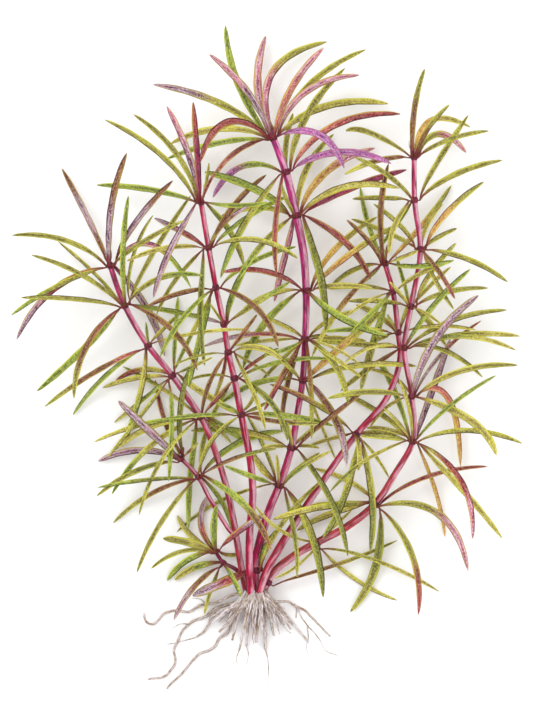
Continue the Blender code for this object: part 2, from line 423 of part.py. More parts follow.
def material(name, colour, roughness):
    """Return the named material, made on first use."""
    made = bpy.data.materials.get(name)
    if made is None:
        made = bpy.data.materials.new(name)
        made.use_nodes = True
        shader = made.node_tree.nodes["Principled BSDF"]
        shader.inputs["Base Color"].default_value = (*colour, 1.0)
        shader.inputs["Roughness"].default_value = roughness
        shader.inputs["Metallic"].default_value = 0.0
    return made


def nearest_on_stem(stem, x, y):
    """Return the centre, direction and radius of the stem at the node nearest to x, y."""
    points = STEMS[stem]
    index = min(range(len(points)), key=lambda i: math.hypot(points[i][0] - x, points[i][1] - y))
    before = Vector(points[max(index - 1, 0)][:3])
    here = Vector(points[index][:3])
    after = Vector(points[min(index + 1, len(points) - 1)][:3])
    direction = (here - before).normalized() + (after - here).normalized()
    return here, direction.normalized(), points[index][3]


class Leaf:
    """One leaf: its base on the ring, its plan seen from above and its heights."""

    def __init__(self, whorl, row, roll):
        self.whorl = whorl
        self.tip = np.array(row[0:2])
        self.bow = row[2]
        self.width = row[3]
        self.tone = row[4].split()[0]
        self.roll = roll
        self.centre = np.array(whorl.centre)
        chord = self.tip - self.centre[:2]
        self.reach = float(np.hypot(*chord))
        self.left = np.array((-chord[1], chord[0])) / self.reach
        handle = row[6] if len(row) > 6 else 0.5
        self.middle = self.centre[:2] + handle * chord + 2 * self.bow * self.left
        start = self.middle - self.centre[:2]
        self.start = start / np.hypot(*start)
        self.rise = row[5] if len(row) > 5 else None
        self.sector = 0
        self.base = self.centre
        first = (whorl.outer + PETIOLE_REACH) / self.reach
        if self.reach > LONG_LEAF:
            self.stations = np.array((0.0, first, *LONG_STATIONS, 1.0))
            shares = (PETIOLE_SHARE, *LONG_SHARES)
        else:
            first = min(first, 0.32)
            self.stations = np.array((0.0, first, *SHORT_STATIONS, 1.0))
            shares = (PETIOLE_SHARE, *SHORT_SHARES)
        self.widths = np.array((0.8, *(share * self.width for share in shares), 0.2))
        self.heights = np.zeros(len(self.stations))

    def plan(self, t):
        """Return x, y at the share t of the way to the tip."""
        curve = (1 - t) ** 2 * self.centre[:2] + 2 * t * (1 - t) * self.middle + t ** 2 * self.tip
        return curve + (1 - t) ** 6 * (self.base[:2] - self.centre[:2])

    def aim(self):
        """Set the heights that the leaf would have with nothing in its way."""
        away = self.base[2] - self.centre[2]
        for index, t in enumerate(self.stations):
            self.heights[index] = self.centre[2] + away * (1 - t) ** 6
            self.heights[index] += self.rise * (1.7 * t - 0.7 * t * t)
        self.target = self.heights.copy()

    def points(self):
        """Return the stations of the axis as points."""
        plan = [self.plan(t) for t in self.stations]
        return [Vector((*at, height)) for at, height in zip(plan, self.heights)]


class Whorl:
    """The ring of leaves at one node of a stem."""

    def __init__(self, name, stem, x, y, rows, rolls):
        self.name = name
        self.stem = stem
        self.centre, self.axis, radius = nearest_on_stem(stem, x, y)
        self.sectors = min(max(FEWEST_SECTORS, len(rows) + SPARE_SECTORS), MOST_SECTORS)
        self.inner = (radius + STEM_GAP) / math.cos(math.pi / self.sectors)
        self.outer = self.inner + RING_WALL
        self.side = Vector((0, 0, 1)).cross(self.axis).normalized()
        self.up = self.axis.cross(self.side).normalized()
        self.leaves = [Leaf(self, row, rolls.uniform(-MOST_ROLL, MOST_ROLL)) for row in rows]
        self.share_out_rises()
        self.share_out_sectors()
        for leaf in self.leaves:
            leaf.base = np.array(self.centre + self.radial(leaf.sector + 0.5) * self.outer)
            leaf.aim()

    def radial(self, sector):
        """Return the outward direction at a place counted in sectors around the ring."""
        angle = 2 * math.pi * sector / self.sectors
        return math.cos(angle) * self.side + math.sin(angle) * self.up

    def share_out_rises(self):
        """Let the leaves rise and fall in turn, the ones that look short most of all."""
        full = max(38.0, *(leaf.reach for leaf in self.leaves))
        side = np.array(self.side[:2])
        in_turn = sorted(self.leaves, key=lambda leaf: float(leaf.start @ side))
        for index, leaf in enumerate(in_turn):
            if leaf.rise is not None:
                continue
            hidden = math.sqrt(max(full ** 2 - leaf.reach ** 2, 0.0)) * 0.7 + 3.0
            if index % 2 == 0:
                leaf.rise = min(hidden, TALLEST_RISE)
            else:
                leaf.rise = -min(hidden, DEEPEST_DROP, self.centre[2] - 1.5)

    def share_out_sectors(self):
        """Give each leaf its own sector of the ring, as near as can be to the way it leaves."""
        side = np.array(self.side[:2])
        places = []
        for leaf in self.leaves:
            angle = math.atan2(1.7 * leaf.rise / leaf.reach, float(leaf.start @ side)) % (2 * math.pi)
            places.append((angle * self.sectors / (2 * math.pi) - 0.5, leaf))
        places.sort(key=lambda place: place[0])
        wishes = [wish for wish, _ in places]
        best = min((cheapest_slots(wishes, first, self.sectors) for first in range(-3, self.sectors)),
                   key=lambda plan: plan[0])
        for slot, (_, leaf) in zip(best[1], places):
            leaf.sector = slot % self.sectors


def cheapest_slots(wishes, first, sectors):
    """Return the cost and slots of the best rising order that starts at the slot first."""
    plans = {first: ((first - wishes[0]) ** 2, [first])}
    for wish in wishes[1:]:
        longer = {}
        for last, (cost, slots) in plans.items():
            for slot in range(last + 1, first + sectors):
                total = cost + (slot - wish) ** 2
                if slot not in longer or total < longer[slot][0]:
                    longer[slot] = (total, slots + [slot])
        plans = longer
    return min(plans.values(), key=lambda plan: plan[0], default=(math.inf, []))


class Obstacle:
    """A row of points along a stem or root that the leaves must pass over or under."""

    def __init__(self, group, points, spacing):
        self.group = group
        self.rows = []
        for start, end in zip(points, points[1:]):
            steps = max(1, round(math.dist(start[:3], end[:3]) / spacing))
            for step in range(steps):
                share = step / steps
                self.rows.append([a + share * (b - a) for a, b in zip(start, end)])
        self.rows.append(list(points[-1]))


def sample_table(leaves):
    """Return, for all leaves together, sample plans, widths and the maps from station heights."""
    shares = np.linspace(0.0, 1.0, SAMPLES)
    plans = np.zeros((len(leaves), SAMPLES, 2))
    widths = np.zeros((len(leaves), SAMPLES))
    maps = []
    for index, leaf in enumerate(leaves):
        stations = np.array([leaf.plan(t) for t in leaf.stations])
        for axis in range(2):
            plans[index, :, axis] = np.interp(shares, leaf.stations, stations[:, axis])
        widths[index] = np.interp(shares, leaf.stations, leaf.widths)
        count = len(leaf.stations)
        spread = np.array([np.interp(shares, leaf.stations, np.eye(count)[k]) for k in range(count)])
        maps.append(spread.T)
    return plans, widths, maps


def close_pairs(plans, widths, leaves):
    """List the pairs of samples on different leaves whose blades lie over each other."""
    flat = plans.reshape(-1, 2)
    wide = widths.reshape(-1)
    owner = np.repeat(np.arange(len(leaves)), SAMPLES)
    whorl_of = {id(leaf.whorl): number for number, leaf in enumerate(leaves)}
    whorl = np.repeat([whorl_of[id(leaf.whorl)] for leaf in leaves], SAMPLES)
    along = np.tile(np.linspace(0.0, 1.0, SAMPLES), len(leaves))
    reach = along * np.repeat([leaf.reach for leaf in leaves], SAMPLES)
    outer = np.repeat([leaf.whorl.outer for leaf in leaves], SAMPLES)
    firsts = []
    seconds = []
    for index in range(len(flat)):
        near = np.hypot(*(flat[index + 1:] - flat[index]).T)
        limit = (wide[index] + wide[index + 1:]) / 2 + PLAN_MARGIN
        hit = np.nonzero((near < limit) & (owner[index + 1:] != owner[index]))[0] + index + 1
        same = (whorl[hit] == whorl[index]) & (np.minimum(reach[hit], reach[index]) < outer[index] + 0.5)
        hit = hit[~same]
        firsts.extend([index] * len(hit))
        seconds.extend(hit)
    firsts = np.array(firsts)
    seconds = np.array(seconds)
    need = KEEL_BASE + (KEEL_SHARE + ROLL_SHARE) * (wide[firsts] + wide[seconds]) / 2 + CLEARANCE
    beyond = np.minimum(reach[firsts], reach[seconds]) - outer[firsts]
    fanned = np.clip(beyond / FAN_REACH, 0.0, 1.0)
    need *= np.where(whorl[firsts] == whorl[seconds], fanned, 1.0)
    groups = owner[firsts] * len(leaves) + owner[seconds]
    return firsts, seconds, need, np.unique(groups, return_inverse=True)[1]


def blocked_samples(plans, widths, leaves, obstacles):
    """List the leaf samples that lie over or under a stem or root, with its height and size."""
    rows = np.array([[*row, obstacle.group] for obstacle in obstacles for row in obstacle.rows])
    flat = plans.reshape(-1, 2)
    wide = widths.reshape(-1)
    along = np.tile(np.linspace(0.0, 1.0, SAMPLES), len(leaves))
    reach = along * np.repeat([leaf.reach for leaf in leaves], SAMPLES)
    centre = np.repeat([leaf.centre for leaf in leaves], SAMPLES, axis=0)
    outer = np.repeat([leaf.whorl.outer for leaf in leaves], SAMPLES)
    hits = []
    for index, at in enumerate(flat):
        near = np.hypot(rows[:, 0] - at[0], rows[:, 1] - at[1])
        hit = np.nonzero(near < rows[:, 3] + wide[index] / 2 + 0.9)[0]
        for row in hit:
            own = np.hypot(*(rows[row, :2] - centre[index, :2])) < 9.0
            if own and reach[index] < outer[index] + 4.5:
                continue
            flatness = max(0.35, 1 - (near[row] / (rows[row, 3] + 2.0)) ** 2) ** 0.5
            need = rows[row, 3] * flatness + KEEL_BASE + (KEEL_SHARE + 0.5 * ROLL_SHARE) * wide[index]
            group = rows[row, 4] * len(leaves) + index // SAMPLES
            hits.append((index, rows[row, 2], need + 0.7 * CLEARANCE, group))
    table = np.array(hits)
    groups = np.unique(table[:, 3], return_inverse=True)[1]
    return table[:, 0].astype(int), table[:, 1], table[:, 2], groups


def list_obstacles(whorls):
    """Return the stems with their rings and the long roots, each stem or root as one group."""
    obstacles = []
    for group, points in enumerate((*STEMS.values(), *LONG_ROOTS.values())):
        obstacles.append(Obstacle(group, points, 2.0))
    groups = {name: group for group, name in enumerate(STEMS)}
    for whorl in whorls:
        near = [tuple(whorl.centre + whorl.axis * shift) + (whorl.outer + 0.3,) for shift in (-1.2, 1.2)]
        obstacles.append(Obstacle(groups[whorl.stem], near, 1.2))
    return obstacles


def common_sides(apart, need, groups):
    """Return for every crossing one side for all its samples: over is 1 and under is -1."""
    weight = np.clip(apart / need, -1.5, 1.5)
    total = np.bincount(groups, weights=weight)
    return np.where(total >= 0, 1.0, -1.0)[groups]


def settle(leaves, obstacles):
    """Move the leaves up and down until none passes through another, a stem or the surface."""
    plans, widths, maps = sample_table(leaves)
    first, second, need, crossing = close_pairs(plans, widths, leaves)
    blocked, block_height, block_need, passing = blocked_samples(plans, widths, leaves, obstacles)
    floor = FLOOR_MARGIN + KEEL_BASE + 0.35 * widths.reshape(-1)
    solvers = []
    for leaf, spread in zip(leaves, maps):
        count = len(leaf.stations)
        bend = np.zeros((count - 2, count))
        for k in range(count - 2):
            before = leaf.stations[k + 1] - leaf.stations[k]
            after = leaf.stations[k + 2] - leaf.stations[k + 1]
            bend[k, k:k + 3] = (1 / before, -1 / before - 1 / after, 1 / after)
        bend *= 0.25
        free = slice(1, count)
        system = spread.T @ spread + STIFFNESS * np.eye(count) + BENDING * bend.T @ bend
        solvers.append((spread, bend, np.linalg.inv(system[free, free])))
    total = len(leaves) * SAMPLES
    sign = None
    side = None
    for turn in range(SETTLE_ROUNDS):
        heights = np.concatenate([spread @ leaf.heights for leaf, (spread, _, _) in zip(leaves, solvers)])
        push = np.zeros(total)
        count = np.zeros(total)
        apart = heights[first] - heights[second]
        gap = heights[blocked] - block_height
        if turn < SIDES_FIXED_AFTER:
            sign = common_sides(apart, need, crossing)
            side = common_sides(gap, block_need, passing)
        short = np.maximum(need - apart * sign, 0.0)
        touched = short > 0
        amount = 0.55 * short * sign
        np.add.at(push, first[touched], amount[touched])
        np.add.at(count, first[touched], 1)
        np.add.at(push, second[touched], -amount[touched])
        np.add.at(count, second[touched], 1)
        lack = np.maximum(block_need - gap * side, 0.0)
        pressed = lack > 0
        np.add.at(push, blocked[pressed], 1.8 * (lack * side)[pressed])
        np.add.at(count, blocked[pressed], 1)
        move = push / np.maximum(count, 1)
        wanted = np.maximum(heights + move, floor)
        fade = 1.0 - turn / SETTLE_ROUNDS
        for index, (leaf, (spread, bend, inverse)) in enumerate(zip(leaves, solvers)):
            span = slice(index * SAMPLES, (index + 1) * SAMPLES)
            pull = spread.T @ (wanted[span] - spread @ leaf.heights)
            pull += STIFFNESS * fade * (leaf.target - leaf.heights)
            pull -= BENDING * fade * bend.T @ (bend @ (leaf.heights - leaf.target))
            leaf.heights[1:] += inverse @ pull[1:]
            lowest = FLOOR_MARGIN + KEEL_BASE + 0.35 * leaf.widths
            leaf.heights[1:] = np.maximum(leaf.heights[1:], lowest[1:])


def blade_frames(leaf, points):
    """Return the tangent, across and face directions of the blade at each free station."""
    frames = []
    radial = leaf.whorl.radial(leaf.sector + 0.5)
    carried = leaf.whorl.axis.copy()
    tangent_before = radial
    facing = 0
    for index in range(1, len(points) - 1):
        tangent = (points[index + 1] - points[index - 1]).normalized()
        carried.rotate(tangent_before.rotation_difference(tangent))
        upward = (Vector((0, 0, 1)) - tangent * tangent.z).normalized()
        level = Vector((0, 0, 1)).cross(tangent).normalized()
        if facing == 0:
            facing = 1 if carried.dot(upward) > -0.2 else -1
        face = facing * math.cos(leaf.roll) * upward + math.sin(leaf.roll) * level
        if index == 1:
            face = face + 0.8 * carried
            face = (face - tangent * face.dot(tangent)).normalized()
        frames.append((tangent, face.cross(tangent).normalized(), face.normalized()))
        tangent_before = tangent
    return frames


def add_leaf(bm, leaf, base, slot):
    """Loft a leaf from the three base corners through its stations to its tip."""
    points = leaf.points()
    ring = base
    faces = []
    for index, (tangent, across, face) in enumerate(blade_frames(leaf, points), start=1):
        half = leaf.widths[index] / 2
        keel = KEEL_BASE + KEEL_SHARE * leaf.widths[index]
        corners = (points[index] - across * half, points[index] + across * half,
                   points[index] - face * keel)
        fresh = [bm.verts.new(on_or_above(corner) * MM) for corner in corners]
        for k in range(3):
            after = (k + 1) % 3
            faces.append(bm.faces.new((ring[k], ring[after], fresh[after], fresh[k])))
        ring = fresh
    tip = bm.verts.new(on_or_above(points[-1]) * MM)
    for k in range(3):
        faces.append(bm.faces.new((ring[k], ring[(k + 1) % 3], tip)))
    for face in faces:
        face.material_index = slot


def on_or_above(corner):
    """Keep a corner from passing below the surface that the plant lies on."""
    return Vector((corner.x, corner.y, max(corner.z, 0.0)))


def whorl_object(whorl, collection):
    """Build the ring and its leaves as one closed mesh."""
    tones = sorted({leaf.tone for leaf in whorl.leaves})
    bm = bmesh.new()
    half = whorl.axis * RING_HEIGHT / 2
    count = whorl.sectors
    inner_top = []
    inner_low = []
    outer_top = []
    keel = []
    for sector in range(count):
        edge = whorl.radial(sector)
        middle = whorl.radial(sector + 0.5)
        inner_top.append(bm.verts.new((whorl.centre + edge * whorl.inner + half) * MM))
        inner_low.append(bm.verts.new((whorl.centre + edge * whorl.inner - half) * MM))
        outer_top.append(bm.verts.new((whorl.centre + edge * whorl.outer + half * 0.6) * MM))
        keel.append(bm.verts.new((whorl.centre + middle * whorl.outer - half * 0.6) * MM))
    leaf_at = {leaf.sector: leaf for leaf in whorl.leaves}
    for sector in range(count):
        after = (sector + 1) % count
        bm.faces.new((inner_top[sector], outer_top[sector], outer_top[after], inner_top[after]))
        bm.faces.new((inner_low[sector], inner_top[sector], inner_top[after], inner_low[after]))
        bm.faces.new((inner_low[after], keel[sector], inner_low[sector]))
        bm.faces.new((inner_low[after], keel[after], keel[sector]))
        bm.faces.new((keel[sector], keel[after], outer_top[after]))
        base = (outer_top[sector], outer_top[after], keel[sector])
        leaf = leaf_at.get(sector)
        if leaf is None:
            bm.faces.new(base)
        else:
            add_leaf(bm, leaf, base, tones.index(leaf.tone))
    bmesh.ops.triangulate(bm, faces=bm.faces[:])
    bmesh.ops.recalc_face_normals(bm, faces=bm.faces[:])
    mesh = bpy.data.meshes.new(whorl.name)
    bm.to_mesh(mesh)
    bm.free()
    for tone in tones:
        mesh.materials.append(material("leaf_" + tone, TONES[tone], LEAF_ROUGHNESS))
    made = bpy.data.objects.new(whorl.name, mesh)
    collection.objects.link(made)
    return made


def tube_object(name, points, sides_level, collection, finish):
    """Build a stem or root as a capped tube of changing radius along its points."""
    curve = bpy.data.curves.new(name, "CURVE")
    curve.dimensions = "3D"
    curve.bevel_depth = MM
    curve.bevel_resolution = sides_level
    curve.use_fill_caps = True
    curve.twist_mode = "MINIMUM"
    spline = curve.splines.new("POLY")
    spline.points.add(len(points) - 1)
    for knot, (x, y, z, radius) in zip(spline.points, points):
        knot.co = (x * MM, y * MM, z * MM, 1.0)
        knot.radius = radius
    made = bpy.data.objects.new(name, curve)
    collection.objects.link(made)
    curve.materials.append(finish)
    return made


def as_mesh(item, collection):
    """Turn a tube into a closed mesh object of the same name and place."""
    bpy.context.view_layer.update()
    seen = item.evaluated_get(bpy.context.evaluated_depsgraph_get())
    mesh = bpy.data.meshes.new_from_object(seen)
    bm = bmesh.new()
    bm.from_mesh(mesh)
    bmesh.ops.remove_doubles(bm, verts=bm.verts[:], dist=1e-6)
    bmesh.ops.recalc_face_normals(bm, faces=bm.faces[:])
    for vert in bm.verts:
        vert.co.z = max(vert.co.z, 0.0)
    bm.to_mesh(mesh)
    bm.free()
    name = item.name
    matrix = item.matrix_world.copy()
    bpy.data.objects.remove(item, do_unlink=True)
    made = bpy.data.objects.new(name, mesh)
    made.matrix_world = matrix
    collection.objects.link(made)
    return made


def crown_object(collection, cutters):
    """Build the root crown with its tuft of short roots in one piece."""
    finish = material("root", ROOT_COLOUR, ROOT_ROUGHNESS)
    bm = bmesh.new()
    bmesh.ops.create_cone(bm, cap_ends=True, segments=CROWN_SIDES, radius1=1.0, radius2=0.8, depth=1.0)
    turn = Matrix.Rotation(math.radians(90), 4, "X")
    size = Matrix.Diagonal((CROWN_HALF[0] * MM, CROWN_LENGTH * MM, CROWN_HALF[1] * MM, 1.0))
    place = Matrix.Translation((CROWN_CENTRE[0] * MM, (CROWN_TOP_Y - CROWN_LENGTH / 2) * MM,
                                CROWN_CENTRE[1] * MM))
    bm.transform(place @ size @ turn)
    mesh = bpy.data.meshes.new("root_crown")
    bmesh.ops.recalc_face_normals(bm, faces=bm.faces[:])
    bm.to_mesh(mesh)
    bm.free()
    crown = bpy.data.objects.new("root_crown", mesh)
    mesh.materials.append(finish)
    collection.objects.link(crown)
    for number, root in enumerate(TUFT_ROOTS, start=1):
        tube = tube_object(f"tuft_root_{number}", root, 0, cutters, finish)
        tube = as_mesh(tube, cutters)
        tube.hide_render = True
        tube.display_type = "WIRE"
        join = crown.modifiers.new(f"root {number}", "BOOLEAN")
        join.operation = "UNION"
        join.solver = "EXACT"
        join.object = tube
    return crown


def build():
    """Make every piece of the plant."""
    clear_objects()
    collection = part_collection()
    cutters = bpy.data.collections.new("cutters")
    bpy.context.scene.collection.children.link(cutters)
    rolls = random.Random(7)
    whorls = [Whorl("whorl_" + name, stem, x, y, rows, rolls)
              for name, (stem, x, y, rows) in WHORLS.items()]
    leaves = [leaf for whorl in whorls for leaf in whorl.leaves]
    settle(leaves, list_obstacles(whorls))
    for whorl in whorls:
        whorl_object(whorl, collection)
    stem_finish = material("stem", STEM_COLOUR, STEM_ROUGHNESS)
    for name, points in STEMS.items():
        tube_object("stem_" + name, points, 1, collection, stem_finish)
    root_finish = material("root", ROOT_COLOUR, ROOT_ROUGHNESS)
    for name, points in LONG_ROOTS.items():
        as_mesh(tube_object(name, points, 0, collection, root_finish), collection)
    crown_object(collection, cutters)


build()
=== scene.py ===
"""Looks of an uprooted Pogostemon stellatus, seen from above as it lies on a pale surface.

The tables and the settling of the leaves repeat those of the plant's solids, so that every leaf,
stem and root lies where its solid lies. Lengths in the tables are millimetres: X runs to the
right, Y to the shoot tips and Z up from the surface. Colours are 0 to 255 as a screen shows them.
"""
import math
import random

import bmesh
import bpy
import numpy as np
from mathutils import Matrix, Vector, noise


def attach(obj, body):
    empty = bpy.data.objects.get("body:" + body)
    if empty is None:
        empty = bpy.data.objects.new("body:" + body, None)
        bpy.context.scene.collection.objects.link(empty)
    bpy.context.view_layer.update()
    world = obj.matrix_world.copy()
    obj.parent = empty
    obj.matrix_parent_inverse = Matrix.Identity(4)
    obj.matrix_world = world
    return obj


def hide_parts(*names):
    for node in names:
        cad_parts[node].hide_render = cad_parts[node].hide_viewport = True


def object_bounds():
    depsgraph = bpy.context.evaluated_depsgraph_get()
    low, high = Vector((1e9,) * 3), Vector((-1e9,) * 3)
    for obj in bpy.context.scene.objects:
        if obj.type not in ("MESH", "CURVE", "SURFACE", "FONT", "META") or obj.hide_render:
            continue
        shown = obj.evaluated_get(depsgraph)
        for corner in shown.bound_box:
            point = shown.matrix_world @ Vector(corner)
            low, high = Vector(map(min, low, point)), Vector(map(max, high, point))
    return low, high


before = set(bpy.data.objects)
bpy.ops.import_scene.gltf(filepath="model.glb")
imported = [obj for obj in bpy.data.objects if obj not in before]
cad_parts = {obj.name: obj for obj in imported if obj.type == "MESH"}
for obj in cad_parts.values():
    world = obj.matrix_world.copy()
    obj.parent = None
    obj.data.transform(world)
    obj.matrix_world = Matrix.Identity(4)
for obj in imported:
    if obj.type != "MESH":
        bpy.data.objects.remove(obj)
CAD_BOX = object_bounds()

MM = 0.001
UP = Vector((0, 0, 1))

# Camera: the middle, height and size of the frame at the level of the stems
FRAME_CENTRE = (0.0, -0.9)
FRAME_TALL = 324.9
FRAME_LEVEL = 24.0
CAMERA_HEIGHT = 5.0
SENSOR_HEIGHT = 24.0
CLIP_START = 0.05
CLIP_END = 60.0

# Light and floor: name, place, size and power of each lamp, in metres and watts
WORLD_STRENGTH = 0.85
LAMPS = (("key", (-0.9, 0.9, 1.9), 1.4, 22.0), ("fill", (1.2, -0.6, 1.7), 1.6, 10.0))
LAMP_TARGET = (0, 0, 0.02)
FLOOR_HALF = 14.0
FLOOR_WHITE = 0.98

# Seeds of the random draws
ROLL_SEED = 7
LEAF_SEED = 100
STRAND_SEED = 53
FINE_ROOT_SEED = 31

# Stem nodes and the ring that carries a whorl
STEM_GAP = 0.4
RING_WALL = 0.8
SPARE_SECTORS = 2
FEWEST_SECTORS = 7
MOST_SECTORS = 16
EARLIEST_SLOT = -3

# Leaf blades
PETIOLE_REACH = 2.5
LATEST_PETIOLE = 0.32
LONG_LEAF = 31.0
LONG_STATIONS = (0.40, 0.72)
SHORT_STATIONS = (0.50,)
PETIOLE_SHARE = 0.45
LONG_SHARES = (1.0, 0.78)
SHORT_SHARES = (1.0,)
FOOT_WIDTH = 0.8
TIP_WIDTH = 0.2
KEEL_BASE = 0.18
KEEL_SHARE = 0.20
MOST_ROLL = math.radians(17)
MIDDLE_HANDLE = 0.5
SHIFT_POWER = 6

# Rise of a leaf: how steeply it starts, how it bends over, and its limits where it is guessed
RISE_START = 1.7
RISE_BEND = 0.7
FULL_REACH = 38.0
HIDDEN_SHARE = 0.7
LEAST_RISE = 3.0
TALLEST_RISE = 27.0
DEEPEST_DROP = 20.0
DROP_MARGIN = 1.5

# How the leaves settle between each other
SAMPLES = 17
SETTLE_ROUNDS = 320
SIDES_FIXED_AFTER = 120
PLAN_MARGIN = 1.5
RING_MARGIN = 0.5
FAN_REACH = 3.0
CLEARANCE = 0.55
FLOOR_MARGIN = 0.15
FLOOR_SHARE = 0.35
STIFFNESS = 0.05
BENDING = 0.06
BEND_SCALE = 0.25
ROLL_SHARE = 0.30
LEAF_PUSH = 0.55
MOST_SAY = 1.5

# How they keep off the stems and roots
STEM_SPACING = 2.0
RING_HALF = 1.2
RING_PROUD = 0.3
PASSING_MARGIN = 0.9
PASSING_FLAT = 0.35
PASSING_REACH = 2.0
PASSING_ROLL = 0.5
PASSING_CLEARANCE = 0.7
PASSING_PUSH = 1.8
OWN_NODE = 9.0
OWN_REACH = 4.5

# Skin of a leaf: its steps, its width and thickness along it, and the places across it
LEAF_STEPS = 26
FEWEST_STEPS = 12
USUAL_REACH = 45.0
STEPS_LIMIT = 1.15
EVEN_END = 0.95
EVEN_POWER = 0.94
TIP_SHARES = (0.972, 0.988, 1.0)
PROFILE_AT = (0.0, 0.06, 0.14, 0.25, 0.40, 0.55, 0.70, 0.82, 0.90, 0.95, 0.98, 1.0)
PROFILE_WIDTH = (0.56, 0.58, 0.74, 0.92, 1.04, 1.07, 1.02, 0.91, 0.76, 0.57, 0.36, 0.12)
THICKNESS_AT = (0.0, 0.1, 0.8, 1.0)
THICKNESS = (1.5, 1.0, 0.9, 0.4)
ACROSS = (-1.0, -0.5, 0.0, 0.5, 1.0, 0.5, 0.0, -0.5)
UNDERSIDE = 5
GUTTER = 0.16
BLADE_THICKNESS = 0.16
MIDRIB_THICKNESS = 0.20
STEM_OVERLAP = 0.15

# How a blade turns from the stem's direction at its foot to face up
FACES_DOWN = -0.2
FOOT_TURN = 0.55
BLADE_TURN = 0.45
TURNED_AT = 0.34
TURN_LENGTH = 0.12

# Where the tones of a leaf change: with one change, and with two that meet in the middle
ONE_CHANGE = (0.42, 0.72)
FIRST_CHANGE = (0.14, 0.36)
CHANGES_MEET = 0.46
SECOND_CHANGE = (0.56, 0.80)

# How leaves differ: share with a dark core, brightness, wavy edges and shift of the tones
CORED_LEAVES = 0.6
BRIGHTNESS = (0.92, 1.08)
WAVE = 0.05
WAVE_RATE = 0.55
TONE_SHIFT = 0.06

# Patterns of the finishes: how far a seed shifts their start along and across a piece, how wide they
# lie around a tube, and how much a stem's painted highlight faces along X and Z
PLACE_START = 90
PLACE_SHIFT = 40
PLACE_SPREAD = 1.4
HIGHLIGHT_FACES = (0.75, 0.65)

# Youngest leaves at a shoot tip
BUD_LEAVES = 5
BUD_ROWS = 7
BUD_TURN = 0.3
BUD_LENGTH = (4.5, 7.5)
BUD_LEAN = (0.15, 0.5)
BUD_WIDTH = (0.7, 1.0)
BUD_START = 1.4
BUD_RUN = 6
BUD_GUTTER = 0.2
BUD_TONES = ("red", "brown", "olive", "mauve")

# Swelling of the stem at a node: place along the stem and how proud it stands
NODE_PROFILE = (
    (-1.5, -0.10), (-1.1, 0.22), (-0.5, 0.42), (0.2, 0.50), (0.8, 0.38), (1.3, 0.14), (1.6, -0.10),
)
NODE_AROUND = 22
NODE_LOBES = 0.04
NODE_LIGHT = (142, 46, 70)
NODE_DARK = (70, 16, 36)

# Skins of stems: steps, points around, lobes, and how they start and end
STEM_STEP = 1.0
STEM_AROUND = 16
STEM_LOBES = 0.035
STEM_SEED = 0.37
STEM_SUNK = 2.6
FORK_START = (1.8, -2.0, -0.1)
FORK_SHARE = 0.9
TIP_LENGTH = 0.5
TIP_SHARE = 0.35

# Skins of roots: step, points around, roughness and share of pale patches, which varies by strand
ROOT_KINDS = {
    "long": (0.7, 9, 0.12, 0.25),
    "tuft": (0.7, 9, 0.14, 0.5),
    "strand": (0.8, 7, 0.13, None),
    "fill": (0.9, 6, 0.10, 0.75),
    "branch": (0.9, 6, 0.08, 0.6),
}
WOBBLE = ((0.9, 50), (0.7, 31), (0.8, 17))
ROOT_SWELL = 0.10
LONG_ROOT_SEED = 0.13
TUFT_SEED = 0.21
ROOT_SUNK = 3.0
ROOT_FOOT_SHARE = 1.2
ROOT_SOURCE_DEPTH = 1.5

# Stem colours: the dark streaks' share of the body, a dark colour that also paints shade on one flank,
# the colour of the painted highlight on the other flank and how strongly it shows
STEM_DARK = 0.52
STEM_HIGHLIGHT = (236, 186, 206)
HIGHLIGHT_STRENGTH = 0.75
SIDE_SHOOT_HIGHLIGHT = 0.2

# Root colours: from the start to the end of a root, and at the top of the crown
ROOT_LIGHT = ((212, 196, 180), (218, 204, 194))
ROOT_DARK = ((124, 100, 82), (146, 122, 106))
ROOT_PALE = (246, 240, 250)
CROWN_LIGHT = (160, 84, 84)
CROWN_DARK = (98, 48, 48)
CROWN_PALE = 0.3
CROWN_BLEND = 0.7
CROWN_BLEND_LENGTH = 4.0
CROWN_HALF_SHARE = 0.9
CROWN_MIDDLE_SHARE = 0.6
LUMPS = ((0.30, 0.8), (0.8, 0.4))
LUMP_LEVEL = -0.6

# Strands: roots that start around the top of the crown and run down over it
STRANDS = 42
STRAND_TURN = 118
STRAND_JITTER = 0.35
STRAND_THICKNESS = (0.38, 0.66)
STRAND_LEAN = (-0.20, 0.78, 0.14)
STRAND_BEND = (-0.16, 0.16)
STRAND_LENGTH = (8.0, 19.0)
SIDE_SHORTENING = 0.25
STRAND_START = (-1.2, 1.2)
STRAND_OVER = ((0.70, 0.72, 0.75), (0.98, 0.96, 1.0))
STRAND_DROP = 2.6
STRAND_SHOULDER = 0.84
STRAND_LOW = 0.8
STRAND_FALL = (0.15, 0.45)
STRAND_STEP_DOWN = (0.0, 1.2)
STRAND_TAPER = (0.86, 0.66, 0.34)
STRAND_PALE = (0.3, 0.55, 0.95)

# Fine roots that fill the tuft: how they fan out, start, bend and thin out
TUFT_FILL = 30
FINE_FAN = 0.95
FINE_SPREAD = 5.4
FINE_JITTER = (-0.08, 0.08)
FINE_START_Y = -107.4
FINE_START = (-1.0, 0.5)
FINE_HEIGHTS = (-4.0, 4.2)
FINE_LENGTH = (9.0, 19.0)
FINE_TURN = (-0.15, 0.15)
FINE_BEND = (-0.22, 0.22)
FINE_CLIMB = (-1.6, 0.5)
FINE_STEPS = 5
FINE_RADIUS = 0.30
FINE_TAPER = 0.17
LOWEST_ROOT = 0.4
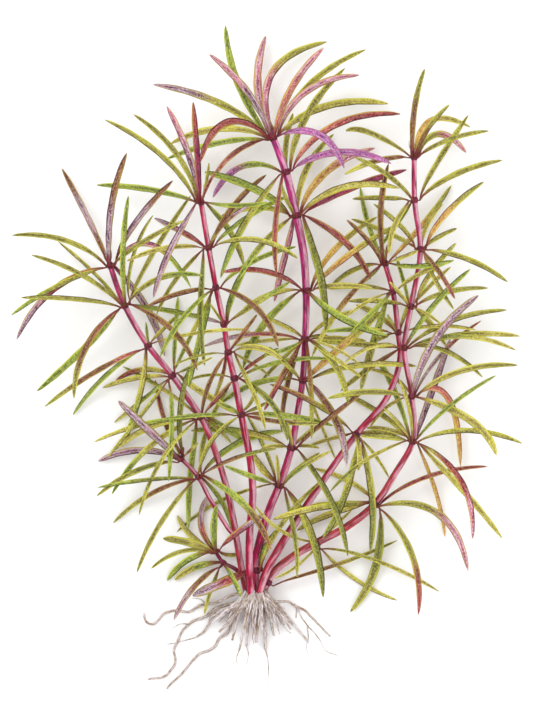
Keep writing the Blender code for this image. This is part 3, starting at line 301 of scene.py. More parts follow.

# Each tone: its body, its dark colour for its painted shade side and dark marks, its margin, its
# flecks and painted highlight band, and how thickly these lie
TONES = {
    "olive": ((188, 184, 66), (80, 66, 34), (222, 220, 82), (230, 226, 156), 0.24),
    "green": ((170, 184, 62), (62, 76, 34), (212, 220, 82), (220, 226, 150), 0.24),
    "khaki": ((214, 206, 80), (114, 94, 42), (236, 232, 98), (244, 236, 174), 0.24),
    "tan": ((230, 182, 80), (138, 78, 42), (228, 212, 94), (250, 228, 176), 0.28),
    "moss": ((148, 149, 56), (58, 54, 30), (196, 200, 78), (206, 209, 140), 0.20),
    "brown": ((152, 96, 54), (64, 16, 28), (194, 176, 74), (226, 190, 156), 0.22),
    "wine": ((154, 34, 70), (68, 6, 40), (188, 136, 80), (230, 150, 176), 0.26),
    "red": ((172, 58, 60), (76, 10, 32), (208, 186, 82), (238, 180, 166), 0.32),
    "salmon": ((220, 114, 88), (132, 24, 46), (220, 198, 92), (252, 212, 196), 0.42),
    "mauve": ((150, 76, 96), (58, 12, 40), (196, 182, 90), (246, 226, 238), 0.54),
    "rose": ((208, 84, 110), (116, 10, 54), (216, 192, 98), (255, 228, 236), 0.54),
    "purple": ((194, 84, 166), (104, 18, 98), (206, 136, 160), (248, 212, 238), 0.42),
}
LEAF_FOOT_DARK = (84, 16, 34)
LEAF_FOOT_LIGHT = (150, 52, 66)

# Linear colour that a leaf's dark colour is mixed towards, for its midrib and the painted shade line along
# its shaded edge
DEEPEST = (0.03, 0.015, 0.010, 1.0)

# Each stem: its colour at the crown and at the tip
STEM_TONES = {
    "far_left": ((198, 52, 60), (208, 56, 120)),
    "inner_left": ((214, 18, 78), (208, 26, 76)),
    "centre": ((208, 26, 84), (208, 52, 146)),
    "inner_right": ((204, 44, 74), (206, 42, 90)),
    "far_right": ((220, 84, 80), (200, 50, 108)),
    "short_branch": ((192, 30, 60), (188, 34, 78)),
    "side_shoot": ((140, 26, 50), (148, 32, 66)),
}

# Values painted on the points: name, Blender's type and key, and the value where none is given
NO_COLOUR = (0.0, 0.0, 0.0, 1.0)
PAINTED = (
    ("light", "FLOAT_COLOR", "color", NO_COLOUR), ("dark", "FLOAT_COLOR", "color", NO_COLOUR),
    ("rim", "FLOAT_COLOR", "color", NO_COLOUR), ("fleck", "FLOAT_COLOR", "color", NO_COLOUR),
    ("place", "FLOAT_VECTOR", "vector", None), ("side", "FLOAT", "value", 0.0),
    ("cored", "FLOAT", "value", 0.0),
)

# Each stem: x, y, height of the axis, radius
STEMS = {
    "far_left": (
        (-9.2, -104.5, 6.0, 1.4), (-10.8, -97.0, 7.2, 1.5), (-12.7, -86.0, 9.4, 1.5),
        (-15.0, -72.0, 11.6, 1.45), (-17.6, -59.5, 13.3, 1.4), (-21.3, -47.0, 15.0, 1.4),
        (-29.7, -26.0, 17.0, 1.4), (-35.4, -17.5, 18.0, 1.35), (-42.4, -7.5, 19.5, 1.35),
        (-53.3, 6.0, 21.0, 1.3), (-63.8, 24.0, 22.0, 1.25), (-70.3, 42.0, 22.5, 1.2),
        (-71.2, 45.0, 22.6, 0.8),
    ),
    "inner_left": (
        (-7.0, -104.5, 12.6, 1.6), (-7.7, -93.0, 14.0, 1.7), (-7.4, -75.0, 16.8, 1.65),
        (-6.2, -62.6, 19.2, 1.6), (-6.8, -50.0, 21.8, 1.6), (-11.4, -25.0, 26.2, 1.5),
        (-14.5, -8.7, 28.2, 1.4), (-17.2, 3.0, 29.4, 1.3), (-19.2, 15.8, 30.6, 1.25),
        (-22.7, 32.0, 31.6, 1.2), (-26.0, 50.0, 32.0, 1.2), (-29.4, 70.4, 31.8, 1.15),
        (-29.9, 73.6, 31.7, 0.8),
    ),
    "centre": (
        (-5.4, -104.5, 8.3, 2.0), (-5.2, -95.4, 8.1, 2.15), (-2.6, -81.0, 9.6, 2.0),
        (1.8, -66.6, 11.6, 1.8), (5.8, -57.0, 13.2, 1.7), (11.2, -40.0, 15.8, 1.6),
        (14.2, -23.0, 17.8, 1.4), (16.3, -9.6, 19.0, 1.4), (17.4, 8.9, 20.5, 1.4),
        (17.8, 30.8, 22.0, 1.6), (16.6, 48.0, 23.0, 1.8), (13.5, 64.5, 23.5, 1.8),
        (8.7, 84.0, 24.0, 1.7), (3.0, 99.5, 24.5, 1.5), (1.6, 103.0, 24.6, 1.0),
    ),
    "inner_right": (
        (-2.9, -104.1, 12.4, 1.6), (0.1, -95.6, 12.2, 1.75), (5.3, -86.0, 12.0, 1.75),
        (12.2, -75.0, 12.0, 1.7), (26.0, -54.3, 12.4, 1.5), (40.5, -34.0, 13.4, 1.4),
        (54.2, -17.5, 14.3, 1.35), (59.0, -6.0, 14.8, 1.3), (60.3, 2.0, 15.2, 1.25),
        (59.3, 12.0, 15.8, 1.2), (57.0, 30.4, 17.5, 1.2), (53.4, 43.0, 19.0, 1.15),
        (52.6, 46.0, 19.3, 0.8),
    ),
    "far_right": (
        (-1.0, -104.0, 7.0, 1.6), (0.4, -100.8, 6.9, 1.65), (3.4, -96.2, 6.9, 1.7),
        (12.2, -88.9, 7.8, 1.7), (22.5, -83.0, 9.0, 1.7), (36.3, -75.6, 11.0, 1.7),
        (49.0, -65.3, 13.6, 1.6), (58.0, -51.5, 17.0, 1.4), (65.9, -37.0, 20.0, 1.3),
        (65.4, -16.8, 24.0, 1.2), (62.0, 5.0, 26.5, 1.2), (65.0, 23.6, 28.0, 1.2),
        (69.2, 49.3, 28.5, 1.25), (66.6, 71.4, 28.2, 1.2), (66.4, 90.7, 28.0, 1.15),
        (66.4, 94.0, 28.0, 0.8),
    ),
    "short_branch": (
        (-16.9, -77.0, 11.4, 1.0), (-18.6, -74.4, 11.8, 1.0), (-26.0, -62.2, 13.0, 1.0),
        (-30.8, -53.2, 13.8, 1.0), (-38.4, -45.0, 14.6, 0.9), (-40.4, -43.0, 14.8, 0.6),
    ),
    "side_shoot": (
        (-7.6, -104.4, 3.0, 0.85), (-9.8, -99.2, 3.2, 0.9), (-14.2, -94.8, 4.4, 0.9),
        (-19.4, -92.0, 6.2, 0.85), (-23.0, -86.7, 8.4, 0.8), (-23.9, -84.6, 9.1, 0.6),
    ),
}

# Each whorl, named by its stem and its number: x, y, then its leaves as tip x, tip y, bow, width
# and tones, which follow each other from the foot of the leaf to its tip.
# The bow is how far the middle of a leaf lies left of its chord, seen from its base.
# A number after the tone is the height its tip gains over its base, where that is known.
# A last number is the share of the chord at which the handle of the curve stands, else a half.
WHORLS = {
    "far_left_1": (-70.3, 42.0, (
        (-92.4, 86.0, -0.5, 2.6, "brown mauve brown"), (-62.7, 92.4, 3.4, 3.0, "mauve brown"),
        (-42.0, 79.9, 2.3, 2.6, "brown mauve brown"), (-113.9, 55.4, -4.8, 2.4, "olive"),
        (-112.5, 8.8, -7.4, 2.8, "red mauve"), (-114.5, 19.6, -2.5, 2.2, "olive green"),
        (-46.0, 1.5, 4.2, 3.2, "mauve"), (-33.9, 32.0, 13.9, 2.4, "rose green", 20.0, 0.3),
        (-36.8, 62.0, 1.5, 2.2, "olive"),
    )),
    "far_left_2": (-63.8, 24.0, (
        (-62.0, 73.0, 1.6, 2.4, "green", 16.0), (-51.0, 64.6, 3.1, 1.6, "olive", 6.0, 0.58),
        (-34.2, 73.5, 1.3, 2.2, "olive"), (-94.0, 53.0, -1.0, 1.6, "olive", -16.0),
        (-105.3, 46.6, -3.0, 2.2, "olive", 20.0), (-109.8, 27.4, -1.3, 2.2, "olive"),
        (-86.2, -17.6, -6.2, 2.8, "red brown olive"), (-103.6, -14.5, 0.9, 3.0, "green"),
        (-31.0, -5.0, 6.0, 2.6, "brown"), (-27.0, 18.0, 1.0, 2.2, "green"),
        (-28.5, 37.3, 5.9, 2.4, "olive green"),
    )),
    "far_left_3": (-53.3, 6.0, (
        (-99.8, -21.5, -2.0, 2.4, "salmon brown olive"), (-87.4, -25.3, -3.0, 2.2, "green"),
        (-65.3, -39.5, 1.9, 2.6, "khaki green"), (-8.5, 13.3, 2.1, 1.6, "khaki"),
        (-40.5, 19.5, 0.4, 1.8, "khaki"), (-54.0, 16.5, 0.0, 1.4, "green"),
    )),
    "far_left_4": (-42.4, -7.5, (
        (-74.0, -13.0, -1.8, 2.2, "khaki"), (-68.0, -9.7, -4.0, 2.4, "khaki red"),
        (-71.5, -44.5, 0.0, 1.8, "olive"), (-68.8, -28.8, 0.0, 1.8, "green khaki"),
        (-40.0, 28.3, 0.0, 2.0, "green"), (-44.0, -55.0, 0.5, 2.2, "green"),
        (-24.3, 0.7, 0.0, 1.6, "moss khaki"), (-13.5, -24.6, 0.4, 2.8, "khaki", 0.0),
    )),
    "far_left_5": (-29.7, -26.0, (
        (-65.0, -3.4, -1.2, 1.8, "khaki green", -14.0), (-19.0, 0.8, 1.9, 2.0, "brown"),
        (-15.5, -10.0, 0.0, 2.0, "red brown"), (-77.7, -37.4, -2.7, 2.0, "green khaki", 6.0),
        (-57.3, -70.2, -4.5, 1.8, "olive"), (-69.7, -61.0, -5.0, 2.4, "khaki green"),
        (-70.5, -42.3, -4.0, 2.6, "khaki"), (-10.0, -38.0, 1.5, 2.4, "green"),
        (-15.8, -38.2, 0.8, 1.4, "khaki"), (-35.2, -76.5, -1.8, 2.6, "green"),
    )),
    "inner_left_1": (-29.4, 70.4, (
        (-45.0, 114.0, -2.0, 2.8, "red mauve rose"), (-32.8, 114.8, 0.0, 2.6, "wine red"),
        (-59.5, 109.4, -4.5, 2.4, "olive"), (-72.7, 107.6, -4.5, 2.4, "olive"),
        (-76.6, 78.5, -2.0, 2.6, "green"), (1.0, 70.0, -1.5, 2.0, "green"),
        (-10.2, 42.0, 3.4, 2.6, "green olive"), (-50.5, 27.5, -2.7, 2.8, "mauve"),
        (-23.0, 83.3, 0.5, 1.6, "red"), (-26.0, 88.5, -0.5, 1.4, "olive"),
    )),
    "inner_left_2": (-26.0, 50.0, (
        (-50.5, 63.5, -0.5, 2.6, "red mauve"), (-0.1, 83.1, 3.0, 2.4, "brown"),
        (-8.2, 68.2, 2.5, 2.0, "khaki brown mauve"), (9.6, 73.4, 2.0, 2.2, "green"),
        (14.0, 44.9, 6.0, 2.4, "olive"), (-62.5, 43.8, -3.0, 2.2, "khaki", 18.0),
        (-49.5, 20.0, -2.9, 2.0, "olive", -10.0), (-27.7, -2.8, -2.7, 2.6, "moss", 10.0),
    )),
    "inner_left_3": (-22.7, 32.0, (
        (13.3, 50.6, 3.0, 2.2, "green"), (-53.5, 23.5, -1.9, 2.2, "brown", 14.0),
        (5.2, 5.5, 5.9, 2.6, "brown"), (-47.5, 1.0, -3.0, 2.2, "green"),
        (-35.0, -12.5, -0.9, 2.8, "green"), (-41.5, -5.0, -0.5, 2.0, "khaki green"),
    )),
    "inner_left_4": (-19.2, 15.8, (
        (10.4, 34.5, 0.0, 2.2, "olive green"), (-33.0, 20.5, 0.1, 1.8, "mauve olive"),
        (-25.5, 25.0, 0.0, 1.2, "olive"), (-7.5, 44.5, 1.3, 2.8, "green"),
    )),
    "inner_left_5": (-17.2, 3.0, (
        (-4.3, 19.8, 0.0, 1.8, "red brown"), (7.0, -0.5, 4.0, 2.8, "khaki"),
        (-0.5, -31.8, 2.4, 2.0, "olive khaki", 13.0), (-24.0, -19.0, 0.6, 1.8, "red khaki"),
        (-41.5, -2.8, -1.5, 1.2, "olive"), (-7.5, 12.8, 0.5, 1.4, "khaki"),
        (1.6, -7.7, 0.9, 1.4, "khaki"),
    )),
    "inner_left_6": (-14.5, -8.7, (
        (5.5, 5.0, 0.8, 1.6, "red olive"), (-36.0, -10.0, -2.2, 1.4, "olive"),
        (29.0, 0.1, 3.2, 2.0, "green"), (9.5, -36.5, 5.5, 2.6, "moss"),
    )),
    "inner_left_7": (-11.4, -25.0, (
        (0.5, -19.5, -0.3, 1.6, "olive"), (30.0, -30.0, 1.9, 2.6, "green"),
        (23.5, -28.8, -1.2, 2.2, "brown olive"), (-46.0, -27.0, -0.8, 1.8, "green", -2.0),
        (-21.0, -20.0, -0.5, 1.8, "green"), (-4.3, -12.5, -1.0, 1.6, "khaki"),
    )),
    "centre_1": (3.0, 99.5, (
        (-0.3, 146.0, 5.3, 3.4, "rose"), (27.3, 143.3, 14.7, 3.2, "rose olive"),
        (25.5, 139.2, 3.6, 3.2, "salmon rose"), (44.5, 138.8, 6.0, 2.8, "olive"),
        (41.5, 127.3, 8.0, 3.0, "rose", 16.0), (54.9, 115.3, 7.0, 3.2, "khaki"),
        (34.7, 85.5, 9.3, 3.2, "purple"), (-18.4, 149.4, 5.0, 3.0, "green"),
        (-25.5, 136.3, -3.3, 3.2, "mauve rose"), (-51.0, 123.6, -4.5, 3.2, "olive mauve"),
        (-43.4, 97.2, -5.6, 3.0, "khaki"), (-45.0, 90.3, -2.6, 2.6, "green", -14.0),
        (-29.7, 88.0, -13.0, 3.2, "red"), (-24.0, 82.0, -4.0, 2.4, "red salmon"),
    )),
    "centre_2": (8.7, 84.0, (
        (12.0, 111.0, 1.5, 2.4, "olive"), (35.3, 131.0, 4.5, 3.0, "olive", -8.0),
        (60.2, 110.3, 9.0, 3.0, "salmon red"), (55.8, 87.5, 7.0, 3.2, "purple"),
        (-24.2, 73.0, -9.0, 2.8, "green purple"), (-20.5, 36.5, -3.6, 2.8, "olive green"),
        (4.5, 38.0, -2.5, 2.4, "red"),
    )),
    "centre_3": (13.5, 64.5, (
        (30.3, 101.5, 4.5, 2.8, "khaki olive"), (49.0, 95.3, 6.2, 3.2, "tan tan rose"),
        (59.5, 76.5, 6.9, 3.0, "khaki"), (63.0, 85.1, 2.0, 3.0, "wine"),
        (47.0, 36.0, 5.3, 3.0, "red", -8.0), (26.5, 12.6, 3.9, 3.4, "moss"),
        (3.5, 26.0, -0.5, 2.8, "rose"), (-13.0, 35.0, -2.7, 2.6, "olive green"),
        (-27.8, 84.3, -3.0, 3.4, "green", -14.0), (-20.5, 64.5, -3.8, 2.4, "khaki"),
        (6.8, 78.0, 1.0, 1.8, "olive"),
    )),
    "centre_4": (17.8, 30.8, (
        (-19.8, 38.8, -4.5, 2.4, "red"), (50.0, 64.2, 3.7, 2.6, "tan khaki"),
        (57.5, 60.0, 1.5, 2.6, "tan olive"), (-12.0, 20.5, -3.7, 2.4, "khaki", -14.0),
        (-10.5, -4.0, -5.1, 3.2, "green"), (54.0, 10.5, -2.8, 3.2, "green"),
        (48.0, 31.5, 2.0, 2.4, "khaki", 14.0),
    )),
    "centre_5": (17.4, 8.9, (
        (0.5, 18.3, -0.8, 2.0, "khaki"), (-28.5, 5.5, -3.9, 2.2, "red mauve"),
        (-14.5, 6.0, -1.0, 1.8, "khaki"), (-1.0, 1.8, 1.2, 2.0, "green"),
        (-2.5, -10.0, -0.5, 1.8, "olive"), (-1.0, -23.0, -0.6, 2.6, "brown red"),
        (6.8, -32.5, -2.6, 2.4, "brown"), (20.3, -35.8, 1.1, 2.2, "brown olive"),
        (43.0, -8.5, 0.3, 1.8, "olive khaki"), (36.5, -20.0, 4.6, 2.8, "olive"),
        (28.5, 10.1, 1.0, 1.4, "olive"), (45.0, 8.2, 1.0, 2.0, "khaki"),
        (40.5, 22.0, 2.2, 1.8, "khaki"), (42.3, -3.0, 2.0, 1.4, "khaki"),
    )),
    "centre_6": (16.3, -9.6, (
        (1.0, 5.5, 0.0, 2.0, "olive"), (-20.5, -20.0, -4.5, 2.6, "green"),
        (52.0, 21.5, 0.0, 3.2, "tan olive"), (67.5, -3.3, 3.7, 2.6, "olive khaki"),
        (36.0, -47.6, 5.0, 3.4, "mauve brown mauve", 12.0), (31.2, -45.3, 0.0, 1.3, "khaki"),
    )),
    "centre_7": (11.2, -40.0, (
        (36.5, -88.5, 4.9, 2.6, "moss", 16.0), (23.8, -40.2, 1.0, 1.6, "olive"),
        (44.3, -13.8, 0.0, 2.2, "brown"), (23.4, -29.6, 0.4, 1.6, "khaki"),
        (9.0, -28.0, -0.3, 1.8, "olive"), (-2.5, -40.3, -1.2, 2.0, "khaki"),
        (-34.0, -32.5, -3.5, 2.8, "khaki green"),
    )),
    "centre_8": (5.8, -57.0, (
        (25.5, -107.2, 5.4, 3.4, "olive moss", None, 0.42), (13.7, -98.0, 2.5, 2.0, "moss olive", 16.0),
        (29.0, -41.3, 1.4, 2.0, "green khaki"), (24.0, -42.3, 0.8, 1.6, "olive"),
        (-8.8, -25.3, -1.0, 1.8, "olive"), (4.6, -42.8, 0.0, 1.6, "khaki"),
        (-6.5, -42.0, 1.2, 2.8, "khaki"), (-18.5, -48.0, 0.3, 2.2, "green"),
        (-40.5, -78.2, -4.6, 1.6, "olive", -17.0),
    )),
    "centre_9": (-5.2, -95.8, (
        (24.5, -55.0, 2.8, 2.2, "olive", 9.0), (6.5, -75.5, 1.0, 2.8, "green", 3.0),
        (-33.3, -106.8, -0.4, 4.4, "red mauve", 8.0),
    )),
    "far_right_10": (1.8, -99.2, (
        (59.0, -82.0, -2.0, 1.8, "brown olive", -5.0),
    )),
    "inner_right_1": (53.4, 43.0, (
        (54.7, 87.5, 2.8, 2.6, "brown"), (36.0, 62.3, -1.0, 2.0, "brown"),
        (42.4, 77.4, 1.6, 2.2, "green"), (54.8, 52.0, 0.0, 1.2, "wine"),
        (83.5, 78.5, -1.6, 2.4, "tan olive"), (68.0, 48.5, -0.2, 1.8, "khaki"),
        (84.0, 44.2, -2.0, 2.2, "green"), (29.0, 32.5, -3.0, 2.2, "olive"),
        (20.5, 1.0, -3.6, 2.4, "brown khaki"), (41.0, 32.5, 0.0, 1.6, "green"),
    )),
    "inner_right_2": (57.0, 30.4, (
        (82.0, 43.5, 1.5, 2.0, "khaki"), (28.0, 31.6, -1.8, 2.2, "olive khaki"),
        (35.6, 18.8, -1.4, 1.6, "khaki"), (38.0, 11.5, 0.0, 2.4, "green"),
        (42.6, -14.0, -1.2, 3.2, "green olive"),
    )),
    "inner_right_3": (59.3, 12.0, (
        (66.5, 31.0, 0.0, 1.8, "khaki"), (94.0, 13.0, 2.3, 1.8, "khaki"),
        (26.0, 12.3, -1.2, 2.2, "khaki green"), (54.0, 20.0, 0.0, 1.2, "olive"),
        (40.5, 24.4, -1.7, 2.6, "khaki"), (47.0, 7.0, -0.5, 1.8, "khaki"),
    )),
    "inner_right_4": (40.5, -34.0, (
        (1.5, -11.3, -2.7, 2.4, "olive brown"), (19.5, -39.2, -0.8, 1.8, "khaki"),
        (59.0, -34.2, 1.2, 2.0, "olive"), (25.3, -80.8, 3.5, 3.0, "olive moss"),
        (46.7, -86.8, 3.7, 3.0, "olive moss", 9.0), (54.9, -53.2, 1.0, 1.5, "olive"),
        (41.0, -50.0, 1.0, 2.4, "khaki"),
    )),
    "far_right_1": (66.4, 90.7, (
        (71.1, 130.4, 2.4, 2.6, "brown olive"), (81.8, 113.8, 2.0, 2.2, "brown olive"),
        (91.9, 104.7, 11.0, 2.6, "tan khaki"), (90.1, 93.2, 9.5, 3.0, "olive rose"),
        (99.6, 102.2, 2.3, 2.2, "olive"), (35.8, 102.9, -3.2, 2.4, "olive", None, 0.85),
        (35.0, 82.7, -2.5, 2.4, "brown khaki"),
    )),
    "far_right_2": (66.6, 71.4, (
        (90.8, 109.7, 0.5, 2.4, "olive"), (105.7, 89.1, 3.0, 2.6, "olive"),
        (39.6, 90.2, -2.0, 2.2, "olive"), (38.8, 72.3, -0.8, 2.2, "olive"),
        (50.8, 50.0, 0.0, 1.8, "green"), (54.8, 47.0, -3.2, 2.4, "khaki"),
    )),
    "far_right_3": (69.2, 49.3, (
        (97.8, 79.7, 2.6, 2.6, "tan olive"), (79.5, 70.0, 2.0, 2.0, "khaki"),
        (85.9, 58.9, 0.8, 2.0, "olive"), (108.4, 34.6, 3.3, 2.4, "olive"),
        (38.3, 63.2, -1.1, 2.2, "olive"), (48.1, 69.7, -1.4, 2.0, "olive", 6.0),
        (84.2, 27.0, 1.0, 2.2, "brown red"), (83.9, 22.4, -1.0, 2.0, "khaki olive", 14.0),
    )),
    "far_right_4": (65.0, 23.6, (
        (58.5, 46.5, 0.0, 1.8, "green"), (55.0, 34.5, 0.0, 1.8, "khaki"),
        (36.8, 26.1, -1.3, 2.2, "olive"), (99.3, 31.8, 2.6, 2.2, "olive"),
        (85.2, 52.0, 1.5, 2.4, "khaki olive", 2.0), (83.0, 41.5, 0.5, 2.0, "khaki"),
        (81.0, 6.0, 1.5, 2.6, "khaki"), (78.0, 15.5, 0.8, 1.4, "khaki"),
    )),
    "far_right_5": (62.0, 5.0, (
        (23.0, 8.2, 0.0, 2.4, "olive"), (34.9, -1.8, -4.0, 1.8, "khaki", None, 0.4),
        (33.5, -14.5, -1.2, 2.4, "brown olive"), (108.3, 22.1, 4.1, 2.4, "olive"),
        (114.0, 10.3, 3.2, 2.6, "moss khaki"), (111.7, 4.0, 5.7, 2.2, "moss khaki"),
        (97.3, -8.2, 5.2, 2.2, "olive", -10.0, 0.4), (91.3, 40.2, 2.2, 2.4, "green"),
    )),
    "far_right_6": (65.4, -16.8, (
        (97.0, 17.3, 3.0, 1.8, "mauve red"), (95.0, 28.5, 5.3, 3.6, "mauve", 18.0),
        (112.5, -2.8, 4.8, 2.6, "khaki olive"), (102.9, -43.0, 6.2, 3.4, "khaki", None, 0.7),
        (87.6, -48.5, 13.0, 2.8, "salmon tan", None, 0.0), (27.5, -17.6, -2.5, 2.6, "olive"),
        (46.5, -31.5, -2.9, 1.6, "khaki"), (46.0, -4.7, -2.9, 1.8, "khaki"),
    )),
    "far_right_7": (65.9, -37.0, (
        (50.3, -2.0, -1.9, 2.6, "green", None, 0.95), (59.5, -9.0, -1.5, 1.8, "khaki"),
        (35.5, -15.8, -1.9, 2.4, "olive"), (52.5, -22.0, -0.5, 1.6, "khaki"),
        (45.0, -31.2, -2.0, 2.0, "khaki"), (42.0, -34.5, -0.8, 2.4, "olive"),
        (83.0, 9.0, -0.5, 3.0, "mauve"), (102.6, -7.5, 2.2, 1.8, "green"),
        (114.5, -37.8, 5.3, 2.4, "olive"), (92.3, -80.5, 9.0, 2.6, "olive red rose"),
        (106.2, -80.8, 1.6, 2.6, "khaki"), (80.6, -80.3, 2.6, 1.8, "tan"),
        (28.5, -59.5, -3.8, 1.8, "khaki moss"),
    )),
    "far_right_8": (49.0, -65.3, (
        (21.6, -49.4, -2.9, 2.2, "khaki", None, 0.35), (3.0, -72.0, -2.2, 3.0, "olive khaki"),
        (20.0, -66.0, -0.3, 2.2, "khaki"), (13.8, -77.4, -2.2, 2.8, "khaki olive", -12.0),
        (90.6, -95.2, 13.0, 3.2, "olive rose"), (99.7, -48.5, 4.2, 2.0, "red"),
        (68.4, -115.2, 7.0, 2.8, "olive red"), (38.0, -114.2, 6.6, 3.6, "moss olive"),
    )),
    "far_right_9": (22.5, -83.0, (
        (78.0, -105.0, 2.6, 1.8, "olive khaki"), (59.0, -109.0, -3.2, 1.8, "khaki", -14.0),
        (38.5, -68.3, 0.0, 1.4, "khaki"), (3.5, -98.5, 2.2, 1.4, "khaki"),
        (-5.0, -66.0, 3.5, 1.6, "khaki"),
    )),
    "short_branch_1": (-38.4, -45.0, (
        (-34.8, -4.0, 2.4, 2.4, "moss"), (-50.3, -9.5, 1.8, 2.2, "brown red"),
        (-66.6, -18.8, 0.5, 3.6, "mauve"), (-76.0, -46.2, -4.5, 3.0, "mauve"),
        (-76.4, -61.7, -3.2, 2.4, "moss olive"), (-37.5, -39.8, 0.0, 1.2, "wine"),
        (-30.5, -37.5, 0.0, 1.4, "red brown olive"),
    )),
    "short_branch_2": (-30.8, -53.2, (
        (-17.0, -13.0, 3.2, 2.2, "olive"), (-12.8, -26.0, 4.0, 2.0, "olive"),
        (7.5, -32.5, 4.8, 2.8, "green"), (4.5, -40.3, 2.4, 1.8, "brown moss"),
        (-75.8, -57.7, -1.2, 1.8, "moss green"), (-69.3, -74.2, -3.5, 2.2, "brown olive"),
        (-58.4, -96.2, -3.0, 2.2, "olive"), (-15.8, -77.0, 3.0, 2.0, "green"),
        (2.0, -85.5, 5.8, 3.0, "green brown"),
    )),
    "side_shoot_1": (-23.0, -86.7, (
        (-26.5, -61.8, 4.8, 2.8, "red mauve"), (-22.5, -66.0, 1.0, 3.0, "green"),
        (-0.3, -69.3, 0.8, 2.6, "red mauve"), (-40.3, -70.8, 2.4, 2.6, "khaki"),
        (-46.5, -80.6, -1.0, 3.4, "khaki olive"), (-51.8, -94.2, -3.9, 2.0, "olive"),
        (-45.0, -100.2, -3.2, 2.8, "green"), (-12.5, -88.3, -1.0, 1.8, "khaki"),
    )),
    "side_shoot_2": (-19.4, -92.0, (
        (-41.5, -99.9, -2.3, 2.8, "green khaki"), (-41.7, -117.6, -2.9, 2.6, "brown mauve"),
        (-28.1, -115.3, -1.0, 1.8, "green khaki"), (-11.5, -106.8, 0.8, 2.0, "green"),
    )),
}

# Root crown: centre, half sizes along X and Z, and its flat upper end that the stems stand on
CROWN_CENTRE = (-5.0, 8.2)
CROWN_HALF = (6.8, 6.9)
CROWN_TOP_Y = -105.0
CROWN_LENGTH = 4.0

# Long roots: x, y, height of the axis, radius
LONG_ROOTS = {
    "root_long_1": (
        (-13.0, -106.0, 8.0, 0.75), (-18.0, -107.6, 6.6, 0.75), (-23.0, -110.2, 3.0, 0.7),
        (-27.5, -110.8, 0.9, 0.65), (-31.0, -112.0, 0.6, 0.6), (-34.5, -114.0, 0.6, 0.6),
        (-44.0, -114.1, 0.6, 0.55), (-47.0, -115.8, 0.6, 0.55), (-49.4, -118.6, 0.6, 0.5),
        (-51.6, -119.9, 0.6, 0.5), (-54.0, -119.2, 0.6, 0.5), (-55.2, -117.2, 0.6, 0.45),
        (-55.2, -115.0, 0.6, 0.4),
    ),
    "root_long_2": (
        (-12.0, -109.2, 7.2, 0.8), (-17.0, -110.9, 4.6, 0.75), (-22.5, -112.4, 1.8, 0.7),
        (-27.0, -116.0, 0.7, 0.65), (-35.0, -119.8, 0.6, 0.6), (-38.2, -123.2, 0.6, 0.55),
        (-40.2, -127.6, 0.6, 0.55), (-41.9, -132.2, 0.6, 0.5), (-41.2, -136.2, 0.6, 0.5),
        (-42.8, -140.3, 0.6, 0.5), (-45.2, -142.8, 0.6, 0.5), (-53.5, -144.9, 0.5, 0.4),
    ),
    "root_long_3": (
        (-10.4, -109.2, 10.4, 0.75), (-15.6, -112.2, 8.8, 0.75), (-20.5, -113.6, 6.0, 0.7),
        (-24.0, -117.0, 3.4, 0.65), (-26.6, -120.6, 1.6, 0.6), (-28.6, -123.6, 0.8, 0.5),
        (-31.6, -125.6, 0.6, 0.4),
    ),
    "root_long_4": (
        (-9.4, -109.2, 3.6, 0.8), (-12.4, -113.4, 2.8, 0.75), (-15.6, -119.0, 1.4, 0.7),
        (-17.6, -123.6, 0.7, 0.65), (-21.0, -126.2, 0.6, 0.65), (-23.4, -129.8, 0.6, 0.6),
        (-26.4, -132.0, 0.6, 0.6), (-30.6, -133.4, 0.6, 0.55), (-33.2, -136.2, 0.6, 0.5),
        (-40.6, -144.6, 0.6, 0.45), (-43.4, -146.9, 0.6, 0.4), (-45.0, -149.2, 0.6, 0.35),
    ),
    "root_long_5": (
        (2.6, -109.1, 8.0, 0.7), (6.4, -109.6, 6.6, 0.65), (10.6, -110.0, 3.6, 0.6),
        (13.2, -111.8, 1.6, 0.55), (17.2, -113.6, 0.8, 0.5), (20.6, -117.0, 0.6, 0.5),
        (28.8, -125.4, 0.6, 0.4),
    ),
}

# Short roots of the tuft, grown in one with the crown
TUFT_ROOTS = (
    ((-8.6, -106.0, 8.8, 0.8), (-11.8, -114.0, 8.2, 0.75), (-18.6, -121.0, 6.0, 0.6)),
    ((-8.6, -106.0, 5.4, 0.8), (-13.2, -115.0, 4.8, 0.75), (-21.4, -123.4, 3.8, 0.6)),
    ((-8.8, -106.0, 9.0, 0.8), (-12.6, -116.0, 8.6, 0.75), (-15.5, -127.0, 6.6, 0.55)),
    ((-7.4, -106.0, 12.4, 0.8), (-9.6, -118.0, 12.2, 0.75), (-12.3, -131.4, 9.0, 0.5)),
    ((-7.0, -106.0, 4.6, 0.8), (-8.0, -117.0, 3.6, 0.8), (-9.2, -129.4, 1.4, 0.55)),
    ((-5.4, -106.0, 9.6, 0.9), (-4.8, -117.0, 8.2, 0.95), (-4.6, -128.0, 6.0, 0.8)),
    ((-3.6, -106.0, 12.0, 0.8), (-2.4, -115.0, 12.2, 0.85), (-1.8, -124.0, 10.0, 0.7)),
    ((-2.6, -106.0, 4.8, 0.8), (-1.0, -118.0, 3.8, 0.85), (-0.5, -131.2, 1.4, 0.7)),
    ((-1.0, -106.0, 9.4, 0.75), (1.6, -113.0, 8.8, 0.65), (3.0, -117.6, 7.6, 0.5)),
    ((0.0, -106.0, 11.4, 0.75), (4.4, -112.0, 11.0, 0.65), (11.0, -122.0, 7.0, 0.45)),
    ((0.2, -106.0, 5.8, 0.75), (8.0, -114.6, 3.4, 0.6), (18.8, -128.0, 1.0, 0.45)),
)

